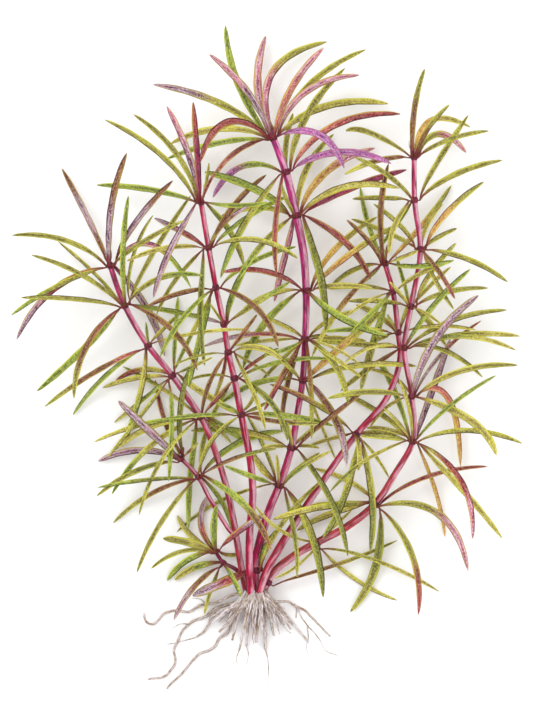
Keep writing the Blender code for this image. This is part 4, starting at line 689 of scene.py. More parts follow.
# Thin roots seen apart from the tuft: x, y, height of the axis, radius
FINE_ROOTS = (
    ((12.6, -110.6, 1.8, 0.30), (13.6, -113.0, 0.8, 0.28), (13.3, -117.0, 0.4, 0.20)),
    ((14.0, -112.0, 1.2, 0.32), (16.0, -117.0, 0.6, 0.28), (18.5, -120.5, 0.5, 0.26),
     (21.0, -123.0, 0.5, 0.24), (24.0, -127.0, 0.4, 0.20), (27.0, -132.0, 0.4, 0.16),
     (32.0, -134.0, 0.4, 0.12)),
    ((18.4, -121.0, 0.5, 0.24), (18.8, -127.0, 0.4, 0.20), (18.0, -130.0, 0.4, 0.18),
     (19.0, -134.0, 0.4, 0.12)),
    ((1.5, -110.0, 7.0, 0.30), (3.0, -112.0, 5.6, 0.26), (7.0, -120.0, 2.4, 0.22),
     (11.0, -124.0, 1.0, 0.14)),
    ((0.6, -111.0, 4.0, 0.28), (1.4, -118.0, 2.4, 0.24), (3.0, -125.0, 1.0, 0.16)),
    ((-0.5, -131.0, 1.2, 0.28), (0.6, -136.0, 0.6, 0.22), (1.0, -146.0, 0.4, 0.12)),
    ((-31.5, -125.6, 0.5, 0.26), (-38.0, -127.6, 0.4, 0.18), (-45.0, -129.0, 0.4, 0.12)),
    ((-27.0, -110.9, 0.9, 0.28), (-30.0, -108.6, 0.6, 0.22), (-34.0, -108.0, 0.4, 0.14)),
    ((-23.0, -112.6, 1.6, 0.28), (-25.6, -116.8, 0.8, 0.22), (-26.6, -121.0, 0.5, 0.14)),
    ((-35.0, -119.9, 0.6, 0.24), (-39.0, -119.8, 0.5, 0.18), (-42.6, -121.8, 0.4, 0.12)),
    ((-12.2, -131.2, 8.6, 0.30), (-13.6, -135.4, 5.6, 0.20), (-13.0, -139.0, 3.0, 0.12)),
    ((-9.2, -129.2, 1.4, 0.26), (-8.2, -134.0, 0.8, 0.18), (-9.0, -138.0, 0.4, 0.12)),
)


def outward(side, up, angle):
    """Return the direction at an angle around a stem, from its side towards its upper side."""
    return math.cos(angle) * side + math.sin(angle) * up


def nearest_on_stem(stem, x, y):
    """Return the centre, direction and radius of the stem at the node nearest to x, y."""
    points = STEMS[stem]
    index = min(range(len(points)), key=lambda i: math.hypot(points[i][0] - x, points[i][1] - y))
    before = Vector(points[max(index - 1, 0)][:3])
    here = Vector(points[index][:3])
    after = Vector(points[min(index + 1, len(points) - 1)][:3])
    direction = (here - before).normalized() + (after - here).normalized()
    return here, direction.normalized(), points[index][3]


class Leaf:
    """One leaf: its base on the ring, its plan seen from above and its heights."""

    def __init__(self, whorl, row, roll):
        tip_x, tip_y, bow, self.width, tones, *known = row
        self.whorl = whorl
        self.tones = tones.split()
        self.roll = roll
        self.rise = known[0] if known else None
        handle = known[1] if len(known) > 1 else MIDDLE_HANDLE
        self.tip = np.array((tip_x, tip_y))
        self.centre = np.array(whorl.centre)
        chord = self.tip - self.centre[:2]
        self.reach = float(np.hypot(*chord))
        left = np.array((-chord[1], chord[0])) / self.reach
        self.middle = self.centre[:2] + handle * chord + 2 * bow * left
        start = self.middle - self.centre[:2]
        self.start = start / np.hypot(*start)
        first = (whorl.outer + PETIOLE_REACH) / self.reach
        between, shares = LONG_STATIONS, LONG_SHARES
        if self.reach <= LONG_LEAF:
            first = min(first, LATEST_PETIOLE)
            between, shares = SHORT_STATIONS, SHORT_SHARES
        self.stations = np.array((0.0, first, *between, 1.0))
        widths = [share * self.width for share in (PETIOLE_SHARE, *shares)]
        self.widths = np.array((FOOT_WIDTH, *widths, TIP_WIDTH))
        self.heights = np.zeros(len(self.stations))

    def plan(self, t):
        """Return x, y at the share t of the way to the tip."""
        curve = (1 - t) ** 2 * self.centre[:2] + 2 * t * (1 - t) * self.middle + t ** 2 * self.tip
        return curve + (1 - t) ** SHIFT_POWER * (self.base[:2] - self.centre[:2])

    def stand(self, radial):
        """Stand on the ring in this direction, at the heights of a leaf with nothing in its way."""
        self.radial = radial
        self.base = np.array(self.whorl.centre + radial * self.whorl.outer)
        away = self.base[2] - self.centre[2]
        for index, t in enumerate(self.stations):
            self.heights[index] = self.centre[2] + away * (1 - t) ** SHIFT_POWER
            self.heights[index] += self.rise * (RISE_START * t - RISE_BEND * t * t)
        self.target = self.heights.copy()


class Whorl:
    """The ring of leaves at one node of a stem."""

    def __init__(self, name, x, y, rows, rolls):
        self.name = name
        self.stem = name.rsplit("_", 1)[0]
        self.centre, self.axis, self.stem_radius = nearest_on_stem(self.stem, x, y)
        self.sectors = min(max(FEWEST_SECTORS, len(rows) + SPARE_SECTORS), MOST_SECTORS)
        inner = (self.stem_radius + STEM_GAP) / math.cos(math.pi / self.sectors)
        self.outer = inner + RING_WALL
        self.side = UP.cross(self.axis).normalized()
        self.up = self.axis.cross(self.side).normalized()
        self.leaves = [Leaf(self, row, rolls.uniform(-MOST_ROLL, MOST_ROLL)) for row in rows]
        self.share_out_rises()
        self.share_out_sectors()

    def share_out_rises(self):
        """Let the leaves rise and fall in turn, the ones that look short most of all."""
        full = max(FULL_REACH, *(leaf.reach for leaf in self.leaves))
        side = np.array(self.side[:2])
        in_turn = sorted(self.leaves, key=lambda leaf: float(leaf.start @ side))
        for index, leaf in enumerate(in_turn):
            if leaf.rise is not None:
                continue
            hidden = math.sqrt(max(full ** 2 - leaf.reach ** 2, 0.0)) * HIDDEN_SHARE + LEAST_RISE
            if index % 2 == 0:
                leaf.rise = min(hidden, TALLEST_RISE)
            else:
                leaf.rise = -min(hidden, DEEPEST_DROP, self.centre[2] - DROP_MARGIN)

    def share_out_sectors(self):
        """Stand each leaf on its own sector of the ring, as near as can be to the way it leaves."""
        side = np.array(self.side[:2])
        places = []
        for leaf in self.leaves:
            slope = RISE_START * leaf.rise / leaf.reach
            angle = math.atan2(slope, float(leaf.start @ side)) % (2 * math.pi)
            places.append((angle * self.sectors / (2 * math.pi) - 0.5, leaf))
        places.sort(key=lambda place: place[0])
        wishes = [wish for wish, _ in places]
        plans = (cheapest_slots(wishes, first, self.sectors) for first in range(EARLIEST_SLOT, self.sectors))
        slots = min(plans, key=lambda plan: plan[0])[1]
        for slot, (_, leaf) in zip(slots, places):
            angle = 2 * math.pi * (slot % self.sectors + 0.5) / self.sectors
            leaf.stand(outward(self.side, self.up, angle))


def cheapest_slots(wishes, first, sectors):
    """Return the cost and slots of the best rising order that starts at the slot first."""
    plans = {first: ((first - wishes[0]) ** 2, [first])}
    for wish in wishes[1:]:
        longer = {}
        for last, (cost, slots) in plans.items():
            for slot in range(last + 1, first + sectors):
                total = cost + (slot - wish) ** 2
                if slot not in longer or total < longer[slot][0]:
                    longer[slot] = (total, slots + [slot])
        plans = longer
    return min(plans.values(), key=lambda plan: plan[0], default=(math.inf, []))


def spaced_rows(points, spacing, group):
    """Return rows of x, y, height, radius and group, evenly spaced along a stem or root."""
    rows = []
    for start, end in zip(points, points[1:]):
        steps = max(1, round(math.dist(start[:3], end[:3]) / spacing))
        for step in range(steps):
            share = step / steps
            rows.append([*(a + share * (b - a) for a, b in zip(start, end)), group])
    rows.append([*points[-1], group])
    return rows


def list_obstacles(whorls):
    """Return the rows of the stems with their rings and of the long roots, one group for each."""
    rows = []
    for group, points in enumerate((*STEMS.values(), *LONG_ROOTS.values())):
        rows += spaced_rows(points, STEM_SPACING, group)
    groups = {name: group for group, name in enumerate(STEMS)}
    for whorl in whorls:
        ends = [(*(whorl.centre + whorl.axis * shift), whorl.outer + RING_PROUD)
                for shift in (-RING_HALF, RING_HALF)]
        rows += spaced_rows(ends, RING_HALF, groups[whorl.stem])
    return np.array(rows)


class Samples:
    """Places spread evenly along all the leaves, with what the settling knows of each place."""

    def __init__(self, leaves):
        shares = np.linspace(0.0, 1.0, SAMPLES)
        plans = np.zeros((len(leaves), SAMPLES, 2))
        widths = np.zeros((len(leaves), SAMPLES))
        self.maps = []
        for index, leaf in enumerate(leaves):
            stations = np.array([leaf.plan(t) for t in leaf.stations])
            for axis in range(2):
                plans[index, :, axis] = np.interp(shares, leaf.stations, stations[:, axis])
            widths[index] = np.interp(shares, leaf.stations, leaf.widths)
            spread = [np.interp(shares, leaf.stations, row) for row in np.eye(len(leaf.stations))]
            self.maps.append(np.array(spread).T)
        self.leaves = len(leaves)
        self.plan = plans.reshape(-1, 2)
        self.width = widths.reshape(-1)
        self.owner = np.repeat(np.arange(len(leaves)), SAMPLES)
        self.whorl = np.repeat([id(leaf.whorl) for leaf in leaves], SAMPLES)
        self.reach = np.tile(shares, len(leaves)) * np.repeat([leaf.reach for leaf in leaves], SAMPLES)
        self.centre = np.repeat([leaf.centre[:2] for leaf in leaves], SAMPLES, axis=0)
        self.outer = np.repeat([leaf.whorl.outer for leaf in leaves], SAMPLES)


def close_pairs(samples):
    """List the pairs of samples on different leaves whose blades lie over each other."""
    plan, width, owner = samples.plan, samples.width, samples.owner
    whorl, reach, outer = samples.whorl, samples.reach, samples.outer
    firsts = []
    seconds = []
    for index in range(len(plan)):
        near = np.hypot(*(plan[index + 1:] - plan[index]).T)
        limit = (width[index] + width[index + 1:]) / 2 + PLAN_MARGIN
        hit = np.nonzero((near < limit) & (owner[index + 1:] != owner[index]))[0] + index + 1
        at_ring = np.minimum(reach[hit], reach[index]) < outer[index] + RING_MARGIN
        hit = hit[~((whorl[hit] == whorl[index]) & at_ring)]
        firsts.extend([index] * len(hit))
        seconds.extend(hit)
    firsts = np.array(firsts)
    seconds = np.array(seconds)
    need = KEEL_BASE + (KEEL_SHARE + ROLL_SHARE) * (width[firsts] + width[seconds]) / 2 + CLEARANCE
    beyond = np.minimum(reach[firsts], reach[seconds]) - outer[firsts]
    fanned = np.clip(beyond / FAN_REACH, 0.0, 1.0)
    need *= np.where(whorl[firsts] == whorl[seconds], fanned, 1.0)
    crossings = owner[firsts] * samples.leaves + owner[seconds]
    return firsts, seconds, need, np.unique(crossings, return_inverse=True)[1]


def blocked_samples(samples, rows):
    """List the leaf samples that lie over or under a stem or root, with its height and size."""
    hits = []
    for index, at in enumerate(samples.plan):
        width = samples.width[index]
        reach = samples.reach[index]
        near = np.hypot(rows[:, 0] - at[0], rows[:, 1] - at[1])
        for hit in np.nonzero(near < rows[:, 3] + width / 2 + PASSING_MARGIN)[0]:
            height, radius, group = rows[hit, 2:]
            own = np.hypot(*(rows[hit, :2] - samples.centre[index])) < OWN_NODE
            if own and reach < samples.outer[index] + OWN_REACH:
                continue
            flatness = max(PASSING_FLAT, 1 - (near[hit] / (radius + PASSING_REACH)) ** 2) ** 0.5
            need = radius * flatness + KEEL_BASE + (KEEL_SHARE + PASSING_ROLL * ROLL_SHARE) * width
            crossing = group * samples.leaves + samples.owner[index]
            hits.append((index, height, need + PASSING_CLEARANCE * CLEARANCE, crossing))
    table = np.array(hits)
    groups = np.unique(table[:, 3], return_inverse=True)[1]
    return table[:, 0].astype(int), table[:, 1], table[:, 2], groups


def common_sides(apart, need, groups):
    """Return for every crossing one side for all its samples: over is 1 and under is -1."""
    weight = np.clip(apart / need, -MOST_SAY, MOST_SAY)
    total = np.bincount(groups, weights=weight)
    return np.where(total >= 0, 1.0, -1.0)[groups]


def lowest_axis(width):
    """Return the least height of a leaf's axis over the surface where it has this width."""
    return FLOOR_MARGIN + KEEL_BASE + FLOOR_SHARE * width


def leaf_solver(leaf, spread):
    """Return a leaf's bending by its station heights, and the inverse that moves its free ones."""
    count = len(leaf.stations)
    bend = np.zeros((count - 2, count))
    for k, (before, after) in enumerate(zip(np.diff(leaf.stations), np.diff(leaf.stations)[1:])):
        bend[k, k:k + 3] = (1 / before, -1 / before - 1 / after, 1 / after)
    bend *= BEND_SCALE
    system = spread.T @ spread + STIFFNESS * np.eye(count) + BENDING * bend.T @ bend
    return bend, np.linalg.inv(system[1:, 1:])


def settle(leaves, rows):
    """Move the leaves up and down until none passes through another, a stem or the surface."""
    samples = Samples(leaves)
    first, second, need, crossing = close_pairs(samples)
    blocked, block_height, block_need, passing = blocked_samples(samples, rows)
    floor = lowest_axis(samples.width)
    solvers = [(spread, *leaf_solver(leaf, spread)) for leaf, spread in zip(leaves, samples.maps)]
    for turn in range(SETTLE_ROUNDS):
        heights = np.concatenate([spread @ leaf.heights for leaf, spread in zip(leaves, samples.maps)])
        push = np.zeros(len(floor))
        count = np.zeros(len(floor))
        apart = heights[first] - heights[second]
        gap = heights[blocked] - block_height
        if turn < SIDES_FIXED_AFTER:
            sign = common_sides(apart, need, crossing)
            side = common_sides(gap, block_need, passing)
        short = np.maximum(need - apart * sign, 0.0)
        touched = short > 0
        amount = (LEAF_PUSH * short * sign)[touched]
        lack = np.maximum(block_need - gap * side, 0.0)
        pressed = lack > 0
        pushes = ((first[touched], amount), (second[touched], -amount),
                  (blocked[pressed], PASSING_PUSH * (lack * side)[pressed]))
        for places, amounts in pushes:
            np.add.at(push, places, amounts)
            np.add.at(count, places, 1)
        wanted = np.maximum(heights + push / np.maximum(count, 1), floor)
        fade = 1.0 - turn / SETTLE_ROUNDS
        for index, (leaf, (spread, bend, inverse)) in enumerate(zip(leaves, solvers)):
            span = slice(index * SAMPLES, (index + 1) * SAMPLES)
            pull = spread.T @ (wanted[span] - spread @ leaf.heights)
            pull += STIFFNESS * fade * (leaf.target - leaf.heights)
            pull -= BENDING * fade * bend.T @ (bend @ (leaf.heights - leaf.target))
            leaf.heights[1:] += inverse @ pull[1:]
            leaf.heights[1:] = np.maximum(leaf.heights[1:], lowest_axis(leaf.widths)[1:])


def on_or_above(corner):
    """Keep a corner from passing below the surface that the plant lies on."""
    return Vector((corner.x, corner.y, max(corner.z, 0.0)))


def linear(colour):
    """Return the linear colour of 0 to 255 display values, with full alpha."""
    shares = [value / 255 for value in colour]
    return (*(s / 12.92 if s <= 0.04045 else ((s + 0.055) / 1.055) ** 2.4 for s in shares), 1.0)


def mixed(first, second, share):
    """Mix two display colours and return the linear result."""
    return linear([a + share * (b - a) for a, b in zip(first, second)])


def smooth_step(low, high, value):
    """Rise smoothly from 0 at low to 1 at high."""
    share = np.clip((value - low) / (high - low), 0.0, 1.0)
    return float(share * share * (3 - 2 * share))


def eased(at, knots, values):
    """Read a smooth curve through the knots."""
    knots = np.asarray(knots, float)
    values = np.asarray(values, float)
    slopes = np.gradient(values, knots)
    index = np.clip(np.searchsorted(knots, at, side="right") - 1, 0, len(knots) - 2)
    span = knots[index + 1] - knots[index]
    share = (at - knots[index]) / span
    square = share * share
    cube = square * share
    start = (2 * cube - 3 * square + 1) * values[index] + (cube - 2 * square + share) * span * slopes[index]
    end = (3 * square - 2 * cube) * values[index + 1] + (cube - square) * span * slopes[index + 1]
    return start + end


class Surface:
    """Gathers the points, faces and painted values of one piece before it becomes a mesh."""

    def __init__(self):
        self.points = []
        self.faces = []
        self.slots = []
        self.values = {name: [] for name, *_ in PAINTED}

    def put(self, at, **given):
        """Add one point, in millimetres, with its painted values."""
        self.points.append(at)
        for name, _, _, usual in PAINTED:
            self.values[name].append(given.get(name, usual))

    def fill(self, faces, slot=0):
        """Add faces between the points, in one of the piece's materials."""
        self.faces.extend(faces)
        self.slots.extend([slot] * len(faces))

    def close_rings(self, start, around, slot=0):
        """Skin the rings of points that were put since the point start, and cap both ends."""
        faces = []
        for low in range(start, len(self.points) - around, around):
            for k in range(around):
                after = (k + 1) % around
                faces.append((low + k, low + after, low + around + after, low + around + k))
        faces.append(tuple(reversed(range(start, start + around))))
        faces.append(tuple(range(len(self.points) - around, len(self.points))))
        self.fill(faces, slot)

    def make(self, name, materials):
        """Turn everything into one smooth mesh object."""
        mesh = bpy.data.meshes.new(name)
        places = np.array([tuple(point) for point in self.points]) * MM
        places = np.clip(places, CAD_BOX[0], CAD_BOX[1])
        mesh.from_pydata(places.tolist(), [], self.faces)
        for finish in materials:
            mesh.materials.append(finish)
        mesh.polygons.foreach_set("material_index", self.slots)
        mesh.polygons.foreach_set("use_smooth", [True] * len(mesh.polygons))
        for label, kind, key, _ in PAINTED:
            layer = mesh.attributes.new(label, kind, "POINT")
            layer.data.foreach_set(key, np.asarray(self.values[label], float).ravel())
        mesh.update()
        made = bpy.data.objects.new(name, mesh)
        bpy.context.scene.collection.objects.link(made)
        return made


def stem_and_up(leaf, tangent):
    """Return the stem's direction, carried from the ring to a tangent, and the way up across it."""
    carried = leaf.whorl.axis.copy()
    carried.rotate(leaf.radial.rotation_difference(tangent))
    return carried, (UP - tangent * tangent.z).normalized()


def leaf_axis(leaf):
    """Return the shares, points and blade directions along a leaf from the stem to its tip."""
    steps = max(FEWEST_STEPS, round(LEAF_STEPS * min(leaf.reach / USUAL_REACH, STEPS_LIMIT)))
    shares = np.concatenate((np.linspace(0.0, EVEN_END, steps) ** EVEN_POWER, TIP_SHARES))
    heights = eased(shares, leaf.stations, leaf.heights)
    points = [Vector((*leaf.plan(t), z)) for t, z in zip(shares, heights)]
    sunk = leaf.whorl.outer - leaf.whorl.stem_radius + STEM_OVERLAP
    points.insert(0, points[0] - leaf.radial * sunk)
    shares = [0.0, *(float(t) for t in shares)]
    foot, bend = (Vector((*leaf.plan(leaf.stations[k]), leaf.heights[k])) for k in (0, 2))
    carried, upward = stem_and_up(leaf, (bend - foot).normalized())
    facing = 1 if carried.dot(upward) > FACES_DOWN else -1
    petiole = float(leaf.stations[1])
    frames = []
    for index, t in enumerate(shares):
        before = points[max(index - 1, 0)]
        after = points[min(index + 1, len(points) - 1)]
        tangent = (after - before).normalized()
        carried, upward = stem_and_up(leaf, tangent)
        level = UP.cross(tangent).normalized()
        wanted = facing * math.cos(leaf.roll) * upward + math.sin(leaf.roll) * level
        if t < petiole:
            share = 1.0 - FOOT_TURN * t / petiole
        else:
            share = BLADE_TURN * (1.0 - smooth_step(petiole, max(TURNED_AT, petiole + TURN_LENGTH), t))
        face = (1 - share) * wanted + share * carried
        face = (face - tangent * face.dot(tangent)).normalized()
        frames.append((face.cross(tangent).normalized(), face))
    return shares, points, frames


def leaf_colours(tones, share):
    """Return the body, dark, margin and fleck colours at a share of a leaf, and the flecks' cover."""
    change, start, end = ONE_CHANGE, tones[0], tones[-1]
    if len(tones) > 2 and share < CHANGES_MEET:
        change, end = FIRST_CHANGE, tones[1]
    elif len(tones) > 2:
        change, start = SECOND_CHANGE, tones[1]
    blend = smooth_step(*change, share)
    *colours, cover = TONES[start]
    *others, other_cover = TONES[end]
    return [mixed(a, b, blend) for a, b in zip(colours, others)] + [cover + blend * (other_cover - cover)]


def put_section(surface, centre, across, face, half, gutter, thick, midrib, run, seed, shaded_half, **given):
    """Put one ring of points around a blade: its top from edge to edge, then its underside."""
    for place, x in enumerate(ACROSS):
        lift = gutter * half * abs(x)
        if place >= UNDERSIDE:
            lift -= midrib if x == 0 else thick
        # side grows towards the half of the blade that gets painted shade
        surface.put(on_or_above(centre + across * half * x + face * lift),
                    place=(x * half, run, seed * PLACE_SHIFT), side=x * shaded_half, **given)


def add_blade(surface, leaf, draw):
    """Add one leaf as a thin closed blade with a gutter and a midrib."""
    shares, points, frames = leaf_axis(leaf)
    seed = draw.uniform(0.0, 1.0)
    cored = 1.0 if seed < CORED_LEAVES else 0.0
    # Which half of the blade carries the painted shade
    shaded_half = 1.0 if draw.random() < 0.5 else -1.0
    brightness = draw.uniform(*BRIGHTNESS)
    tone_shift = TONE_SHIFT * math.sin(seed * 31)
    start = len(surface.points)
    run = 0.0
    before = points[0]
    for share, point, (across, face) in zip(shares, points, frames):
        run += (point - before).length
        before = point
        half = leaf.width / 2 * float(np.interp(share, PROFILE_AT, PROFILE_WIDTH))
        half *= 1.0 + WAVE * math.sin(run * WAVE_RATE + seed * 9)
        light, dark, rim, fleck, cover = leaf_colours(leaf.tones, share + tone_shift)
        light = (*(min(value * brightness, 1.0) for value in light[:3]), 1.0)
        stout = float(np.interp(share, THICKNESS_AT, THICKNESS))
        put_section(surface, point, across, face, half, GUTTER, BLADE_THICKNESS * stout,
                    (BLADE_THICKNESS + MIDRIB_THICKNESS) * stout, run, seed, shaded_half,
                    light=light, dark=dark, rim=rim, fleck=(*fleck[:3], cover), cored=cored)
    surface.close_rings(start, len(ACROSS))


def add_bud(surface, whorl, draw):
    """Add a few young leaves that still stand together at the shoot tip."""
    for number in range(BUD_LEAVES):
        angle = 2 * math.pi * number / BUD_LEAVES + draw.uniform(-BUD_TURN, BUD_TURN)
        length = draw.uniform(*BUD_LENGTH)
        lean = draw.uniform(*BUD_LEAN)
        away = outward(whorl.side, whorl.up, angle)
        foot = whorl.centre + whorl.axis * BUD_START + away * whorl.stem_radius * 0.5
        tip = foot + (whorl.axis * math.cos(lean) + away * math.sin(lean)) * length
        width = draw.uniform(*BUD_WIDTH)
        *colours, cover = TONES[draw.choice(BUD_TONES)]
        light, dark, rim, fleck = (linear(colour) for colour in colours)
        seed = draw.random()
        tangent = (tip - foot).normalized()
        across = tangent.cross(away).normalized()
        face = across.cross(tangent)
        length = (tip - foot).length
        start = len(surface.points)
        for row in range(BUD_ROWS):
            share = row / (BUD_ROWS - 1)
            centre = foot.lerp(tip, share) + away * 0.5 * math.sin(math.pi * share)
            bulge = 0.5 + 0.5 * math.sin(math.pi * min(share * 1.1, 1.0))
            half = width / 2 * bulge * (1.02 - share ** 4)
            put_section(surface, centre, across, face, half, BUD_GUTTER, BLADE_THICKNESS, BLADE_THICKNESS,
                        BUD_RUN + share * length, seed, 1.0,
                        light=light, dark=dark, rim=rim, fleck=(*fleck[:3], cover), cored=seed)
        surface.close_rings(start, len(ACROSS))


def add_node(surface, whorl, seed):
    """Add the low swelling of the stem at a node."""
    light, dark = linear(NODE_LIGHT), linear(NODE_DARK)
    start = len(surface.points)
    for along, proud in NODE_PROFILE:
        for k in range(NODE_AROUND):
            angle = 2 * math.pi * k / NODE_AROUND
            lobe = 1.0 + NODE_LOBES * math.sin(5 * angle + seed * 20)
            away = outward(whorl.side, whorl.up, angle) * (whorl.stem_radius + proud) * lobe
            surface.put(whorl.centre + whorl.axis * along + away, light=light, dark=dark,
                        place=(angle * whorl.stem_radius, along, seed * PLACE_SHIFT))
    surface.close_rings(start, NODE_AROUND, slot=1)


class Finish:
    """One material, with its nodes made and joined by short calls."""

    def __init__(self, name):
        self.material = bpy.data.materials.new(name)
        self.material.use_nodes = True
        self.tree = self.material.node_tree
        self.shader = self.tree.nodes["Principled BSDF"]

    def feed(self, socket, value):
        """Link an output to a socket, or set the socket's own value."""
        if isinstance(value, bpy.types.NodeSocket):
            self.tree.links.new(value, socket)
        else:
            socket.default_value = value

    def add(self, kind, inputs, **settings):
        """Add a node with its settings, and feed its inputs by name or number."""
        node = self.tree.nodes.new("ShaderNode" + kind)
        for key, value in settings.items():
            setattr(node, key, value)
        for key, value in inputs.items():
            self.feed(node.inputs[key], value)
        return node

    def painted(self, name, output="Color"):
        """Read a painted value of the mesh."""
        return self.add("Attribute", {}, attribute_name=name).outputs[output]

    def maths(self, operation, *values):
        """Return the result of a maths node."""
        return self.add("Math", dict(enumerate(values)), operation=operation).outputs[0]

    def times(self, first, second):
        """Multiply two values."""
        return self.maths("MULTIPLY", first, second)

    def plus(self, first, second):
        """Add two values."""
        return self.maths("ADD", first, second)

    def blend(self, first, share, second, rest):
        """Add one value times its share and another times the rest."""
        return self.plus(self.times(first, share), self.times(second, rest))

    def scaled(self, value, slope, offset):
        """Multiply a value and add an offset."""
        return self.maths("MULTIPLY_ADD", value, slope, offset)

    def rest(self, value):
        """Take a value from 1."""
        return self.maths("SUBTRACT", 1.0, value)

    def ramp(self, value, low, high):
        """Rise smoothly from 0 at low to 1 at high."""
        inputs = {"Value": value, "From Min": low, "From Max": high}
        return self.add("MapRange", inputs, interpolation_type="SMOOTHSTEP", clamp=True).outputs["Result"]

    def mix(self, share, first, second):
        """Mix two colours."""
        return self.add("Mix", {"Factor": share, 6: first, 7: second}, data_type="RGBA").outputs[2]

    def lay(self, colour, over, share, amount):
        """Lay a colour over another by a share of this amount."""
        return self.mix(self.times(share, amount), colour, over)

    def noise(self, vector, detail, roughness, scale=1.0, stretch=None):
        """Return noise at a vector, which may be stretched along its axes."""
        if stretch:
            vector = self.add("Mapping", {"Vector": vector, "Scale": stretch}).outputs["Vector"]
        inputs = {"Vector": vector, "Scale": scale, "Detail": detail, "Roughness": roughness}
        return self.add("TexNoise", inputs).outputs["Fac"]

    def done(self, colour, roughness, relief, specular, strength, depth):
        """Give the shader its colour, roughness, shine and bumps in metres, and return the material."""
        self.feed(self.shader.inputs["Base Color"], colour)
        self.feed(self.shader.inputs["Roughness"], roughness)
        self.shader.inputs["Specular IOR Level"].default_value = specular
        bump = self.add("Bump", {"Strength": strength, "Distance": depth, "Height": relief})
        self.feed(self.shader.inputs["Normal"], bump.outputs["Normal"])
        return self.material


def leaf_finish():
    """Leaf blade: painted body, dark core, painted shade side and edge line, painted highlight band, margin,
    fine grain, flecks, red foot.
    """
    m = Finish("leaf_blade")
    light, dark, rim, fleck = (m.painted(name) for name in ("light", "dark", "rim", "fleck"))
    fleck_cover = m.painted("fleck", "Alpha")
    side = m.painted("side", "Fac")
    cored = m.painted("cored", "Fac")
    place = m.painted("place", "Vector")
    hatch = m.noise(place, detail=4.0, roughness=0.65, stretch=(2.8, 0.45, 1.0))
    grain = m.noise(place, detail=3.0, roughness=0.68, scale=2.0, stretch=(1.0, 0.75, 1.0))
    fine = m.noise(place, detail=2.0, roughness=0.62, scale=2.4, stretch=(1.2, 0.8, 1.0))
    patch = m.noise(place, detail=2.0, roughness=0.5, stretch=(0.5, 0.11, 1.0))
    stretches = m.noise(place, detail=1.0, roughness=0.5, stretch=(0.12, 0.07, 2.3))
    streaks = m.noise(place, detail=3.0, roughness=0.6, stretch=(2.1, 0.16, 1.0))
    edge = m.maths("ABSOLUTE", side)
    ragged = m.scaled(hatch, 1.4, -0.7)
    patchy = m.scaled(patch, 2.4, -1.2)
    # The body, with painted shade on one side and a dark core in some stretches
    shade = m.ramp(m.plus(m.times(side, 0.75), m.plus(ragged, patchy)), -0.25, 0.75)
    colour = m.lay(light, dark, shade, m.scaled(cored, -0.35, 0.7))
    core = m.times(m.rest(m.ramp(m.plus(edge, ragged), 0.30, 0.78)), m.ramp(stretches, 0.36, 0.52))
    colour = m.lay(colour, dark, core, m.scaled(cored, 0.5, 0.3))
    # The midrib, then dark strokes and the dark and bright grain
    midrib = m.rest(m.ramp(m.plus(edge, m.times(ragged, 0.3)), 0.04, 0.24))
    deep = m.mix(0.35, dark, DEEPEST)
    colour = m.lay(colour, deep, midrib, 0.45)
    colour = m.lay(colour, dark, m.ramp(hatch, 0.54, 0.62), 0.66)
    colour = m.lay(colour, dark, m.ramp(grain, 0.51, 0.57), 0.74)
    colour = m.lay(colour, m.mix(0.42, light, fleck), m.rest(m.ramp(grain, 0.40, 0.47)), 0.66)
    # A dark painted shade line along the shaded edge, then a painted highlight band and the leaf's pale
    # margin along the lit one
    near_edge = m.plus(edge, m.times(ragged, 0.35))
    shade_side_mask = m.ramp(m.plus(side, m.times(patchy, 0.6)), -0.1, 0.5)
    shade_side_mask = m.times(shade_side_mask, m.scaled(cored, -0.6, 1.0))
    lit_side_mask = m.rest(shade_side_mask)
    colour = m.lay(colour, deep, m.times(m.ramp(near_edge, 0.60, 0.84), shade_side_mask), 0.7)
    highlight_band = m.maths("SUBTRACT", m.ramp(near_edge, 0.22, 0.42), m.ramp(near_edge, 0.52, 0.70))
    # pale is the strength of the painted highlight band
    pale = m.times(m.ramp(fleck_cover, 0.34, 0.62), 0.4)
    colour = m.lay(colour, fleck, m.times(highlight_band, lit_side_mask), pale)
    colour = m.lay(colour, rim, m.times(m.ramp(near_edge, 0.56, 0.78), lit_side_mask), 0.85)
    # Pale flecks inside the margins, and the red foot
    spots = m.ramp(m.blend(streaks, 0.42, fine, 0.58), 0.50, 0.55)
    colour = m.lay(colour, fleck, m.times(spots, fleck_cover), m.rest(m.ramp(edge, 0.55, 0.9)))
    run = m.add("SeparateXYZ", {"Vector": place}).outputs["Y"]
    foot = m.rest(m.ramp(m.plus(run, m.scaled(hatch, 8.0, -4.0)), 3.0, 11.0))
    foot_colour = m.mix(m.ramp(grain, 0.42, 0.58), linear(LEAF_FOOT_DARK), linear(LEAF_FOOT_LIGHT))
    colour = m.lay(colour, foot_colour, foot, 0.88)
    relief = m.blend(hatch, 0.7, grain, 0.3)
    return m.done(colour, m.scaled(hatch, 0.22, 0.50), relief, specular=0.1, strength=0.35, depth=0.00012)


